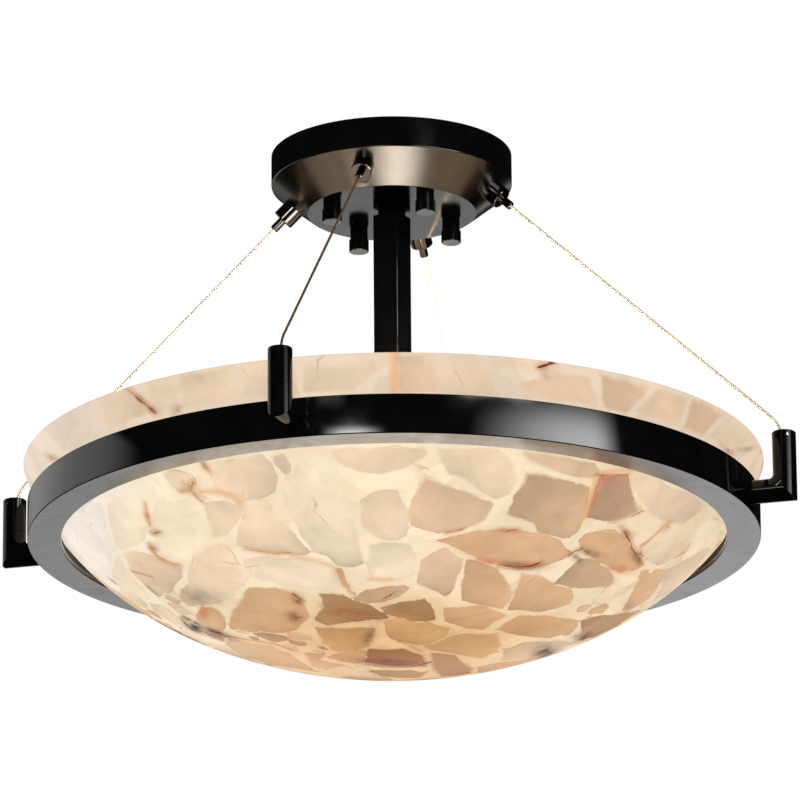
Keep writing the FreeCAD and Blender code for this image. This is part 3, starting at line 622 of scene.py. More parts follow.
@dataclass(frozen=True)
class LitGlass(Finish):
    """Frosted lamp glass, lit from inside and warmer towards its edge."""

    title: str = "lit_lamp_glass"
    strength: float = 0.8
    glow: Colour = screen_colour(255, 246, 226)
    edge_glow: Colour = screen_colour(255, 214, 160)
    frost: Colour = screen_colour(214, 206, 192)
    frost_shade: Colour = screen_colour(200, 190, 172)

    def shader(self, graph: Graph) -> Socket:
        """Frosted white body with a glow that falls off towards the edge.

        Args:
            graph: the material's graph.

        Returns:
            The shader's output.
        """
        cloud = graph.noise(60.0, 3.0)
        facing = graph.add("LayerWeight", Blend=0.35).outputs["Facing"]
        glow = graph.blend(facing, self.glow, self.edge_glow)
        base = graph.blend(cloud, self.frost, self.frost_shade)
        normal = graph.bump(graph.noise(1200.0, 2.0), 0.3, 0.02)
        rough = graph.spread(cloud, *NOISE_SPAN, 0.35, 0.5)
        return graph.surface(base, rough, normal, Emission_Color=glow,
                             Emission_Strength=self.strength)


@dataclass(frozen=True)
class ChipStone(Finish):
    """Stone chips in cream resin, lit from inside.

    The mesh carries each point's chip colour with its painted shade, its depth inside that chip in
    mm and how strongly rust has bled along the chip's edge, its place beside the nearest vein, the
    patch of painted shade that lies there, and the glow.  Edges, rust and veins are measured in
    mm, and the last spans, where the stone changes along X or Z, in metres; most of these changes
    are painted light and shade in the glow.
    """

    title: str = "chip_stone"
    strength: float = 0.905
    diffuse: float = 0.12
    edges: Span = (0.45, 4.2)
    ragged: float = 3.4
    rust_line: Span = (0.2, 0.9)
    halo: float = 6.0
    sway: float = 2.6
    spill: float = 4.0
    vein_edge: Span = (-0.35, 0.25)
    vein_end: Span = (-8.0, -6.0)

    cream: Colour = screen_colour(254, 236, 207)
    deep_cream: Colour = screen_colour(247, 226, 193)
    painted_light_white: Colour = screen_colour(247, 238, 228)
    painted_shade_tan: Colour = screen_colour(238, 214, 178)
    painted_shade_grey: Colour = screen_colour(230, 209, 187)
    painted_shade_foot_tan: Colour = screen_colour(238, 204, 162)
    painted_foot_warmth: Colour = colour(0.95, 0.84, 0.68)
    bleed: Colour = screen_colour(232, 172, 122)
    rust: Colour = screen_colour(150, 84, 56)
    crack: Colour = screen_colour(150, 100, 66)

    # Painted light and shade in the glow, by place: whiter to the left, browner to the right,
    # greyer high up, browner and warmer low down, and the chips plainer at the far left.
    painted_light_left: Span = (-0.14, -0.24)
    painted_shade_right: Span = (0.02, 0.2)
    painted_shade_band: Span = (-0.262, -0.25)
    painted_shade_foot: Span = (-0.325, -0.36)
    above_ring: Span = (-0.266, -0.262)
    painted_plain_left: Span = (-0.17, -0.225)
    painted_warm_foot: Span = (-0.337, -0.359)

    def resin(self, graph: Graph, spot: Socket) -> Socket:
        """Cream resin with painted light and shade: whiter at the left, browner to the right,
        greyer high up and browner low down.

        Args:
            graph: the material's graph.
            spot: the object's own coordinates.

        Returns:
            The resin's colour.
        """
        parts = graph.apart(spot)
        cloud = graph.noise(26.0, 5.0, 0.55, 0.8, where=spot)
        body = graph.blend(graph.spread(cloud, 0.35, 0.65), self.cream, self.deep_cream)
        # Painted light and shade laid over the resin by place.
        for axis, span, most, smooth, tint in (
                ("X", self.painted_light_left, 1.0, True, self.painted_light_white),
                ("X", self.painted_shade_right, 0.8, False, self.painted_shade_tan),
                ("Z", self.painted_shade_band, 0.85, False, self.painted_shade_grey),
                ("Z", self.painted_shade_foot, 0.85, True, self.painted_shade_foot_tan)):
            share = graph.spread(parts[axis], *span, 0.0, most, smooth=smooth)
            body = graph.blend(share, body, tint)
        bent = self.pushed(graph, spot, 70.0, 0.012)
        for scale, low, high in ((27.0, 0.93, 1.03), (58.0, 0.965, 1.03)):
            deep = graph.add("TexVoronoi", Vector=bent, Scale=scale)
            shade = graph.add("SeparateColor", Color=deep.outputs["Color"]).outputs["Red"]
            body = graph.veiled(body, shade, low, high, 0.1, 0.9)
        return body

    @staticmethod
    def pushed(graph: Graph, spot: Socket, scale: float, reach: float) -> Socket:
        """Pushes coordinates about a little, to bend straight edges.

        Args:
            graph: the material's graph.
            spot: the object's own coordinates.
            scale: its cells per metre.
            reach: the push's size in metres.

        Returns:
            The pushed coordinates.
        """
        noise = graph.add("TexNoise", Vector=spot, Scale=scale, Detail=3.0)
        push = graph.add("VectorMath", {"operation": "SCALE"}, Vector=noise.outputs["Color"],
                         Scale=reach)
        bent = graph.add("VectorMath", {"operation": "ADD"})
        graph.feed(bent.inputs[0], spot)
        graph.feed(bent.inputs[1], push.outputs[0])
        return bent.outputs[0]

    def cracks(self, graph: Graph, spot: Socket) -> Socket:
        """Hair cracks, in patches.

        Args:
            graph: the material's graph.
            spot: the object's own coordinates.

        Returns:
            How strongly they show.
        """
        cells = graph.add("TexVoronoi", {"feature": "DISTANCE_TO_EDGE"}, Scale=15.0,
                          Vector=self.pushed(graph, spot, 26.0, 0.03))
        line = graph.spread(cells.outputs["Distance"], 0.0, 0.013, 0.36, 0.0, smooth=True)
        patch = graph.spread(graph.noise(24.0, 3.0, 0.6, where=spot), 0.55, 0.66)
        return graph.math("MULTIPLY", line, patch)

    def shader(self, graph: Graph) -> Socket:
        """Resin with painted light and shade, chips with cloudy grain and painted shade, rust at
        their edges, patches of painted shade, and veins.

        Args:
            graph: the material's graph.

        Returns:
            The shader's output.
        """
        spot = graph.here()

        def carried(name: str, output: str = "Fac") -> Socket:
            """The output that reads one of the mesh's attributes."""
            return graph.add("Attribute", {"attribute_name": name}).outputs[output]

        parts = graph.apart(spot)
        above = graph.spread(parts["Z"], *self.above_ring)
        ragged = graph.math("SUBTRACT", graph.noise(150.0, 5.0, 0.68, where=spot), 0.5)
        ragged = graph.math("MULTIPLY", ragged, self.ragged)
        inside = graph.math("ADD", carried("chip_depth"), ragged)
        fade = graph.spread(graph.noise(19.0, 3.0, 0.5, where=spot), 0.47, 0.68, *self.edges)
        fade = graph.math("ADD", fade, graph.math("MULTIPLY", above, 2.5))
        cover = graph.spread(inside, -self.edges[0], fade, smooth=True)
        grain = graph.noise(48.0, 5.0, 0.55, 0.3, where=spot)
        cloud = graph.noise(15.0, 4.0, 0.6, 0.5, where=spot)
        stone = graph.veiled(carried("chip_colour", "Color"), grain, 0.89, 1.08)
        stone = graph.veiled(stone, cloud, 0.94, 1.05)
        resin = self.resin(graph, spot)
        stone = graph.blend(graph.math("MULTIPLY", above, 0.25), stone, resin)
        # Painted light: at the far left the chips fade into the resin.
        left = graph.spread(parts["X"], *self.painted_plain_left, 0.0, 0.8)
        body = graph.blend(cover, resin, graph.blend(left, stone, resin))
        # Painted shade: browner and warmer low down.
        low = graph.spread(parts["Z"], *self.painted_warm_foot, smooth=True)
        body = graph.blend(low, body, self.painted_foot_warmth, "MULTIPLY")

        rust = graph.math("MULTIPLY", carried("chip_rust"), graph.math("SUBTRACT", 1.0, above))
        near = graph.math("ABSOLUTE", graph.math("SUBTRACT", inside, 0.4))
        line = graph.spread(near, *self.rust_line, 0.8, 0.0, smooth=True)
        halo = graph.spread(near, 0.0, self.halo, 0.5, 0.0, smooth=True)
        patch = graph.spread(graph.noise(38.0, 3.0, 0.5, 0.6, where=spot), 0.5, 0.62)
        patch = graph.math("MULTIPLY", rust, patch)
        body = graph.blend(graph.math("MULTIPLY", halo, patch), body, self.bleed)
        body = graph.blend(graph.math("MULTIPLY", line, patch), body, self.rust)
        body = graph.blend(self.cracks(graph, spot), body, self.crack)

        mottled = graph.noise(110.0, 4.0, 0.6, 0.4, where=spot)
        # Patches of painted shade laid over the body.
        amount = graph.math("MULTIPLY", carried("shade_patch_share"),
                            graph.spread(mottled, *NOISE_SPAN, 0.55, 1.35))
        body = graph.blend(amount, body, carried("shade_patch_colour", "Color"))

        sway = graph.math("MULTIPLY", graph.math("SUBTRACT", mottled, 0.5), self.sway)
        across = graph.math("ADD", carried("vein_across"), sway)
        beyond = carried("vein_beyond")
        away = graph.math("SQRT", graph.math(
            "ADD", graph.math("MULTIPLY", across, across), graph.math("MULTIPLY", beyond, beyond)))
        swell = graph.spread(graph.noise(55.0, 3.0, 0.5, where=spot), 0.35, 0.65, 0.25, 1.35)
        vein = graph.math("SUBTRACT", graph.math("MULTIPLY", carried("vein_width"), swell), away)
        close = graph.spread(carried("vein_near"), *self.vein_end)
        stain = carried("vein_colour", "Color")
        spill = graph.spread(vein, -self.spill, 0.0, 0.0, 0.45, smooth=True)
        warm = graph.blend(0.35, self.bleed, stain)
        body = graph.blend(graph.math("MULTIPLY", spill, close), body, warm)
        line = graph.spread(vein, *self.vein_edge, 0.0, 0.95, smooth=True)
        broken = graph.spread(graph.noise(70.0, 3.0, 0.6, where=spot), 0.38, 0.55, 0.25, 1.0)
        line = graph.math("MULTIPLY", line, graph.math("MULTIPLY", broken, close))
        body = graph.blend(line, body, stain)

        rough = graph.spread(grain, *NOISE_SPAN, 0.24, 0.36)
        normal = graph.bump(grain, 0.12, 0.12)
        dimmed = graph.blend(1.0, body, colour(self.diffuse, self.diffuse, self.diffuse),
                             "MULTIPLY")
        glow = graph.math("MULTIPLY", carried("glow"), self.strength)
        return graph.surface(dimmed, rough, normal, Emission_Color=body, Emission_Strength=glow,
                             Specular_IOR_Level=0.07)


BLACK_PLATE = BlackPlate("black_plate")
POST_BLACK = BlackPlate("post_black", index=1.3, gloss=(0.04, 0.08))
# The canopy's band, cone and face are one spun metal; these two tints of it, with the black plate
# on the band, are painted light and shade for how each face is lit.
FACE_PAINTED_LIGHT_NICKEL = Metal("canopy_face_painted_light_nickel", colour(0.13, 0.13, 0.13), colour(0.17, 0.168, 0.166),
                    (0.1, 0.15))
KNOB_PLATE = EndPlate("knob_plate", colour(0.27, 0.265, 0.26))
GRIPPER_NICKEL = Metal("gripper_nickel", colour(0.12, 0.117, 0.113), colour(0.17, 0.166, 0.16),
                       (0.09, 0.15))
CONE_PAINTED_LIGHT_NICKEL = Metal("cone_painted_light_nickel", colour(0.096, 0.087, 0.077), colour(0.12, 0.109, 0.097),
                    (0.2, 0.25))
FLANGE_STEEL = RolledSteel("flange_steel")
ZINC = Metal("zinc_plate", colour(0.50, 0.50, 0.52), colour(0.62, 0.61, 0.60), (0.3, 0.45))
BRASS = Metal("turned_brass", colour(0.66, 0.47, 0.20), colour(0.78, 0.58, 0.28), (0.2, 0.35))
PALE_WIRE = AgedWire("pale_bronze_wire", colour(0.43, 0.33, 0.22), colour(0.72, 0.58, 0.42))
# Painted shade: a darker copy of the pale wire, for the front cable that hangs in shade.
SHADED_WIRE = AgedWire("painted_shade_bronze_wire", colour(0.055, 0.03, 0.016), colour(0.13, 0.075, 0.04))
LAMP_CAP = Metal("plated_cap", colour(0.66, 0.66, 0.68), colour(0.78, 0.78, 0.78), (0.2, 0.35))
GROUND_GREEN = Metal("green_screw", colour(0.03, 0.26, 0.07), colour(0.05, 0.34, 0.11),
                     (0.3, 0.45), metallic=0.0, coat=0.4)
PORCELAIN = Mottled("glazed_porcelain", screen_colour(236, 233, 226),
                    screen_colour(222, 218, 209), (0.18, 0.3), mottle=(90.0, 4.0, 0.5),
                    grain=(400.0, 2.0, 0.5), relief=(0.2, 0.02), coat=0.6)
RUBBER = Mottled("matt_rubber", colour(0.012, 0.012, 0.012), colour(0.03, 0.03, 0.03),
                 (0.65, 0.85), mottle=(900.0, 3.0, 0.5), relief=(0.5, 0.05))

SLOT_FINISHES: dict[str, Finish] = {
    "canopy_metal": BLACK_PLATE,
    "black_metal": BLACK_PLATE,
    "gripper_metal": GRIPPER_NICKEL,
    "cable_steel": PALE_WIRE,
    "steel": ZINC,
    "ground_green": GROUND_GREEN,
    "brass": BRASS,
    "porcelain": PORCELAIN,
    "lamp_cap": LAMP_CAP,
    "lamp_glass": LitGlass(),
    "seat_rubber": RUBBER,
}


# ---- viewpoint and studio


@dataclass(frozen=True)
class Viewpoint:
    """The camera, below the light and looking up at it, in mm, degrees and pixels."""

    distance: float = 4618.6
    rise: float = 17.668
    pan: float = 0.058
    roll: float = -0.405
    aim_height: float = -175.28
    focal: float = 6791.2
    image: float = 800.0
    sensor: float = 36.0
    clip: Span = (0.1, 200.0)

    def axes(self) -> tuple[np.ndarray, np.ndarray, np.ndarray]:
        """Works out which way the camera points.

        Returns:
            Its right, up and forward directions.
        """
        rise, pan, roll = (math.radians(a) for a in (self.rise, self.pan, self.roll))
        level = np.array((0.0, math.cos(rise), math.sin(rise)))
        upright = np.array((0.0, -math.sin(rise), math.cos(rise)))
        sideways = np.array((1.0, 0.0, 0.0))
        ahead = level * math.cos(pan) + sideways * math.sin(pan)
        right = sideways * math.cos(pan) - level * math.sin(pan)
        return (right * math.cos(roll) + upright * math.sin(roll),
                upright * math.cos(roll) - right * math.sin(roll), ahead)

    def spot(self) -> np.ndarray:
        """Works out where the camera stands.

        Returns:
            The place, in mm.
        """
        rise = math.radians(self.rise)
        return np.array((0.0, -self.distance * math.cos(rise),
                         self.aim_height - self.distance * math.sin(rise)))

    def ray(self, pixel: Pixel) -> np.ndarray:
        """Direction through a pixel.

        Args:
            pixel: its place from the photograph's left and top edges.

        Returns:
            The direction, one long.
        """
        right, up, ahead = self.axes()
        middle = self.image / 2
        way = ahead * self.focal + right * (pixel[0] - middle) - up * (pixel[1] - middle)
        return way / np.linalg.norm(way)

    def place(self) -> None:
        """Makes the scene's camera."""
        data = bpy.data.cameras.new("viewpoint")
        data.sensor_width = self.sensor
        data.lens = self.focal / self.image * self.sensor
        data.clip_start, data.clip_end = self.clip
        camera = bpy.data.objects.new("viewpoint", data)
        right, up, ahead = self.axes()
        turn = Matrix([axis.tolist() for axis in (right, up, -ahead)]).transposed()
        camera.matrix_world = Matrix.Translation((self.spot() * MM).tolist()) @ turn.to_4x4()
        bpy.context.scene.collection.objects.link(camera)
        bpy.context.scene.camera = camera


def show_in_gloss_only(sheet: bpy.types.Object) -> None:
    """Hides a lit sheet from all but reflections.

    Args:
        sheet: the sheet.
    """
    for kind in ("camera", "diffuse", "transmission", "shadow"):
        setattr(sheet, f"visible_{kind}", False)


def light_sheet(graph: Graph, level: Socket, tint: Colour, strength: float,
                solid_from: float) -> None:
    """Lights a sheet, clear where its level is nothing.

    Args:
        graph: the sheet's material graph.
        level: how brightly each point is lit, 0 to 1.
        tint: the light's colour.
        strength: its strength where the level is 1.
        solid_from: the level from which the sheet isn't clear.
    """
    light = graph.add("Emission", Color=tint, Strength=graph.math("MULTIPLY", level, strength))
    share = graph.spread(level, 0.0, solid_from)
    graph.end(graph.joined(share, graph.add("BsdfTransparent"), light).outputs[0])


def new_lamp(name: str, kind: str, watts: float,
             tint: Triple) -> bpy.types.Object:
    """Makes a lamp that reflections don't show.

    Args:
        name: its name.
        kind: Blender's name for its kind.
        watts: its power.
        tint: its colour.

    Returns:
        The lamp, linked to the scene.
    """
    data = bpy.data.lights.new(name, kind)
    data.energy, data.color = watts, tint
    lamp = bpy.data.objects.new(name, data)
    lamp.visible_glossy = False
    bpy.context.scene.collection.objects.link(lamp)
    return lamp


@dataclass(frozen=True)
class SoftBox:
    """Upright lit panel that only polished pieces show, in mm and degrees.

    Its light eases in over edge_in from its left side, seen from the light, and out over
    edge_out, and likewise over foot and head from below and above.
    """

    name: str
    azimuth: float
    left: float
    right: float
    bottom: float
    top: float
    edge_in: float
    edge_out: float
    foot: float
    head: float
    level: float
    away: float = 1300.0
    tint: Colour = colour(1.0, 0.99, 0.975)
    solid_from: float = 0.02

    def build(self) -> None:
        """Stands the panel up and lights it."""
        out = heading(self.azimuth) * self.away
        along = heading(self.azimuth + 90.0)
        corners = np.array([tuple(out + along * across + Vector((0.0, 0.0, up)))
                            for across, up in ((self.left, self.bottom), (self.right, self.bottom),
                                               (self.right, self.top), (self.left, self.top))])
        panel = new_object(self.name, corners, [(0, 1, 2, 3)])
        layer = panel.data.uv_layers.new(name="panel")
        for corner, spot in zip(layer.data, ((0, 0), (1, 0), (1, 1), (0, 1))):
            corner.uv = spot
        made, graph = new_material(self.name)
        parts = graph.apart(graph.add("TexCoord").outputs["UV"])
        wide, tall = self.right - self.left, self.top - self.bottom
        level = graph.spread(parts["X"], 0.0, self.edge_in / wide, smooth=True)
        for value, low, high in ((parts["X"], 1.0, 1.0 - self.edge_out / wide),
                                 (parts["Y"], 0.0, self.foot / tall),
                                 (parts["Y"], 1.0, 1.0 - self.head / tall)):
            level = graph.math("MULTIPLY", level, graph.spread(value, low, high, smooth=True))
        light_sheet(graph, level, self.tint, self.level, self.solid_from)
        panel.data.materials.append(made)
        show_in_gloss_only(panel)


@dataclass(frozen=True)
class LampGlint:
    """Small bright disc in the bowl's mouth, which only the canopy's cone shows, in mm."""

    middle: Triple = (11.0, -85.0, -130.0)
    radius: float = 68.0
    sides: int = 24
    level: float = 9.0
    tint: Colour = colour(1.0, 0.93, 0.84)
    solid_from: float = 0.05

    def build(self) -> None:
        """Lays the disc and lights it from its middle outwards."""
        middle = Vector(self.middle)
        rim = [tuple(middle + heading(side * 360.0 / self.sides) * self.radius)
               for side in range(self.sides)]
        disc = new_object("lamp_glint", np.array(rim), [tuple(range(self.sides))])
        made, graph = new_material("lamp_glint")
        gap = graph.add("VectorMath", {"operation": "DISTANCE"})
        graph.feed(gap.inputs[0], graph.here())
        graph.feed(gap.inputs[1], tuple(middle * MM))
        level = graph.spread(gap.outputs["Value"], self.radius * MM, 0.0, smooth=True)
        light_sheet(graph, level, self.tint, self.level, self.solid_from)
        disc.data.materials.append(made)
        show_in_gloss_only(disc)


@dataclass(frozen=True)
class SquareLamp:
    """Square soft lamp that faces the light, in mm, degrees and watts."""

    name: str
    azimuth: float
    rise: float
    away: float
    side: float
    watts: float
    aim_height: float = -180.0
    tint: Triple = (1.0, 0.98, 0.95)

    def build(self) -> None:
        """Hangs the lamp and turns it to the light."""
        lamp = new_lamp(self.name, "AREA", self.watts, self.tint)
        lamp.data.size = self.side * MM
        way = heading(self.azimuth) * math.cos(math.radians(self.rise))
        way.z = math.sin(math.radians(self.rise))
        spot = (way * self.away + Vector((0.0, 0.0, self.aim_height))) * MM
        turn = way.to_track_quat("Z", "Y").to_matrix().to_4x4()
        lamp.matrix_world = Matrix.Translation(spot) @ turn


@dataclass(frozen=True)
class Bulb:
    """Warm light of the lamps inside the bowl, in metres and watts."""

    height: float = -0.205
    size: float = 0.05
    watts: float = 9.0
    tint: Triple = (1.0, 0.9, 0.74)

    def build(self) -> None:
        """Hangs the light inside the bowl."""
        lamp = new_lamp("bulb_light", "POINT", self.watts, self.tint)
        lamp.data.shadow_soft_size = self.size
        lamp.location = (0.0, 0.0, self.height)


LIGHTS: tuple[SoftBox | LampGlint | SquareLamp | Bulb, ...] = (
    SoftBox("right_panel", azimuth=52.0, left=-820.0, right=390.0, bottom=-400.0, top=230.0,
            edge_in=900.0, edge_out=245.0, foot=100.0, head=220.0, level=8.5),
    SoftBox("left_panel", azimuth=-135.0, left=-1000.0, right=1900.0, bottom=-400.0, top=360.0,
            edge_in=1300.0, edge_out=900.0, foot=100.0, head=60.0, level=0.85),
    SoftBox("front_strip", azimuth=-18.0, left=-60.0, right=380.0, bottom=-150.0, top=24.0,
            edge_in=200.0, edge_out=200.0, foot=60.0, head=56.0, level=17.0),
    SoftBox("front_veil", azimuth=-18.0, left=-110.0, right=130.0, bottom=90.0, top=320.0,
            edge_in=80.0, edge_out=80.0, foot=90.0, head=120.0, level=0.8),
    SoftBox("stem_strip", azimuth=30.0, left=-300.0, right=300.0, bottom=165.0, top=362.0,
            edge_in=120.0, edge_out=120.0, foot=30.0, head=10.0, level=12.0),
    LampGlint(),
    SquareLamp("key", azimuth=52.0, rise=30.0, away=3200.0, side=1500.0, watts=26.0),
    SquareLamp("fill", azimuth=-70.0, rise=22.0, away=3600.0, side=1800.0, watts=16.0),
    SquareLamp("under", azimuth=8.0, rise=-12.0, away=3400.0, side=2200.0, watts=60.0),
    SquareLamp("rear", azimuth=170.0, rise=35.0, away=3600.0, side=1800.0, watts=16.0),
    Bulb(),
)


@dataclass(frozen=True)
class Studio:
    """Studio with a white end behind the light and a dark one before it.

    The floor's drop and side are in mm, and where its reflection turns white in metres.
    """

    floor_drop: float = 5000.0
    floor_side: float = 60000.0
    floor_tint: Colour = colour(0.8, 0.8, 0.79)
    floor_white: float = 0.82
    white_along: Span = (10.5, 18.0)
    white_aside: Span = (3.6, 6.0)
    white: Colour = colour(1.0, 1.0, 1.0)
    fill: float = 0.62
    fill_tint: Colour = colour(1.0, 0.99, 0.975)
    gloss_tint: Colour = colour(1.0, 0.985, 0.965)
    gloss_least: float = 0.006
    below: Span = (0.0, -0.08)
    behind: Span = (0.85, 0.95)

    def build(self) -> None:
        """Makes the floor, the sky and the lights."""
        self.floor()
        self.sky()
        for light in LIGHTS:
            light.build()

    def floor(self) -> None:
        """Pale floor that reads as white and still darkens under the light."""
        half = self.floor_side / 2
        corners = np.array([(x, y, -self.floor_drop) for x, y in
                            ((-half, -half), (half, -half), (half, half), (-half, half))])
        floor = new_object("studio_floor", corners, [(0, 1, 2, 3)])
        made, graph = new_material("studio_floor")
        path = graph.add("LightPath").outputs
        parts = graph.apart(graph.here())
        mirrored = graph.spread(parts["Y"], *self.white_along)
        aside = graph.math("ABSOLUTE", parts["X"])
        mirrored = graph.math("MULTIPLY", mirrored, graph.spread(
            aside, *self.white_aside, 1.0, 0.0, smooth=True))
        open_air = graph.math("MAXIMUM", path["Is Camera Ray"], path["Is Transmission Ray"])
        level = graph.math("MAXIMUM", open_air, mirrored)
        pale = graph.add("BsdfDiffuse", Color=self.floor_tint)
        white = graph.add("Emission", Color=self.white, Strength=level)
        share = graph.math("MULTIPLY", open_air, self.floor_white)
        share = graph.math("MAXIMUM", share, path["Is Glossy Ray"])
        graph.end(graph.joined(share, pale, white).outputs[0])
        floor.data.materials.append(made)

    def sky(self) -> None:
        """Even sky, white where the camera sees it and shaded as a studio in reflections."""
        world = bpy.data.worlds.new("studio")
        bpy.context.scene.world = world
        world.use_nodes = True
        graph = Graph(world.node_tree)
        path = graph.add("LightPath").outputs
        parts = graph.apart(graph.add("TexCoord").outputs["Generated"])
        below = graph.spread(parts["Z"], *self.below, smooth=True)
        behind = graph.spread(parts["Y"], *self.behind, smooth=True)
        level = graph.math("ADD", graph.math("MULTIPLY", below, behind), self.gloss_least)
        glossy = graph.add("Background", Strength=level, Color=self.gloss_tint)
        even = graph.add("Background", Color=self.fill_tint, Strength=self.fill)
        white = graph.add("Background", Color=self.white, Strength=1.0)
        clear = graph.math("MAXIMUM", path["Is Camera Ray"], path["Is Transmission Ray"])
        shaded = graph.joined(path["Is Glossy Ray"], even, glossy)
        graph.end(graph.joined(clear, shaded, white).outputs[0], "OutputWorld")


# ---- canopy


@dataclass(frozen=True)
class Canopy:
    """Spun canopy: vertical band, cone and flat face, in mm."""

    radius: float = 82.6
    band_drop: float = 21.2
    drop: float = 41.0
    face_radius: float = 57.85
    wall: float = 1.6
    edge: float = 1.1
    rim_edge: float = 0.35
    bore: float = 5.3
    bore_edge: float = 0.3
    inner_edge: float = 0.6
    band_lean: float = 0.4
    face_lean: float = 0.6
    turns: int = 256
    face_below: float = -0.98
    cone_below: float = -0.3

    def build(self) -> None:
        """Turns the shell and dresses it."""
        inner = self.radius - self.wall
        slope = (self.radius - self.face_radius) / (self.drop - self.band_drop)
        lean = self.wall * (math.sqrt(1 + slope * slope) - slope)
        corners = [
            Corner(self.bore, -self.drop, self.bore_edge),
            Corner(self.face_radius, -self.drop, self.edge),
            Corner(self.radius, -self.band_drop, self.edge),
            Corner(self.radius, 0.0, self.rim_edge),
            Corner(inner, 0.0, self.rim_edge),
            Corner(inner, -self.band_drop + lean * self.band_lean, self.inner_edge),
            Corner(self.face_radius - self.wall * self.face_lean, -self.drop + self.wall,
                   self.inner_edge),
            Corner(self.bore, -self.drop + self.wall, self.bore_edge)]
        points, normals = rounded_line(corners, closed=True)
        shell = turned("canopy", points, normals, closed=True, turns=self.turns)
        # Painted light and shade: the one spun shell gets a tint by which way each face looks,
        # black on the band, warm nickel on the cone and grey nickel on the face.
        BLACK_PLATE.dress(shell, "canopy_metal")
        shell.data.materials.append(CONE_PAINTED_LIGHT_NICKEL.material())
        shell.data.materials.append(FACE_PAINTED_LIGHT_NICKEL.material())
        for face in shell.data.polygons:
            if face.normal.z < self.face_below:
                face.material_index = 2
            elif face.normal.z < self.cone_below:
                face.material_index = 1
        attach(shell, "root")
        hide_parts("canopy_shell")


# ---- ring


@dataclass(frozen=True)
class AngleRing:
    """Ring rolled from angle: an upright outer wall and a level flange under the bowl, in mm."""

    radius: float = 247.65
    drop: float = 276.1
    tall: float = 26.6
    flange: float = 23.0
    thick: float = 3.2
    edge: float = 0.7
    inner_edge: float = 1.0
    crown: float = 0.035
    turns: int = 360
    under_below: float = -0.9

    def build(self) -> None:
        """Turns the ring, black on its wall and dull steel under its flange.

        The wall is flat, and its normals lean by the crown at its edges, as a rolled wall's do.
        """
        low, high = -self.drop, -self.drop + self.tall
        inner, wall = self.radius - self.flange, self.radius - self.thick
        corners = [
            Corner(inner, low, self.edge), Corner(self.radius, low, self.edge),
            Corner(self.radius, high, self.edge), Corner(wall, high, self.edge),
            Corner(wall, low + self.thick, self.inner_edge),
            Corner(inner, low + self.thick, self.edge)]
        points, normals = rounded_line(corners, closed=True)
        middle = (low + high) / 2
        for point, normal in zip(points, normals):
            if normal[0] > 1 - STRAIGHT and point[0] > self.radius - STRAIGHT:
                normal[1] = self.crown * (point[1] - middle) / (self.tall / 2)
        ring = turned("ring", points, normals, closed=True, turns=self.turns)
        BLACK_PLATE.dress(ring, "black_metal")
        ring.data.materials.append(FLANGE_STEEL.material())
        for face in ring.data.polygons:
            if face.normal.z < self.under_below:
                face.material_index = 1
        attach(ring, "root")
        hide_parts("angle_ring")


# ---- bowl


class Tone(Enum):
    """What a chip is made of, as its colour on a screen."""

    WHITE = (247, 238, 229)
    IVORY = (250, 231, 203)
    PALE = (243, 222, 192)
    CREAM = (236, 211, 180)
    SHELL = (229, 203, 173)
    SAND = (222, 190, 156)
    PEACH = (218, 177, 136)
    BISCUIT = (211, 169, 124)
    TAN = (204, 170, 136)
    CLAY = (189, 154, 127)
    BROWN = (182, 142, 102)
    UMBER = (173, 122, 84)


COMMON_TONES = {Tone.PALE: 3, Tone.CREAM: 5, Tone.SHELL: 5, Tone.SAND: 5, Tone.PEACH: 3,
                Tone.TAN: 3, Tone.CLAY: 2, Tone.BROWN: 1}


class Stain(Enum):
    """What a vein is stained by, as its colour on a screen."""

    AMBER = (232, 186, 138)
    RUST = (190, 120, 80)
    BARK = (128, 86, 56)
    BLOOD = (114, 38, 26)
    SOOT = (70, 48, 34)


@dataclass(frozen=True)
class PlacedChip:
    """A chip that shows in the photograph: its tone, the pixels of its corners and its rust."""

    tone: Tone
    corners: tuple[Pixel, ...]
    rust: float = 0.0


@dataclass(frozen=True)
class Vein:
    """A stained line in the stone: half its width in mm, and the pixels along it."""

    stain: Stain
    half_width: float
    points: tuple[Pixel, ...]


@dataclass(frozen=True)
class ShadePatch:
    """A soft patch of colour, mostly painted shade: its colour on a screen, how much it hides, and
    its pixels.

    The pixels are those of its middle and of the ends of its two half axes.
    """

    tint: tuple[int, int, int]
    share: float
    places: tuple[Pixel, Pixel, Pixel]


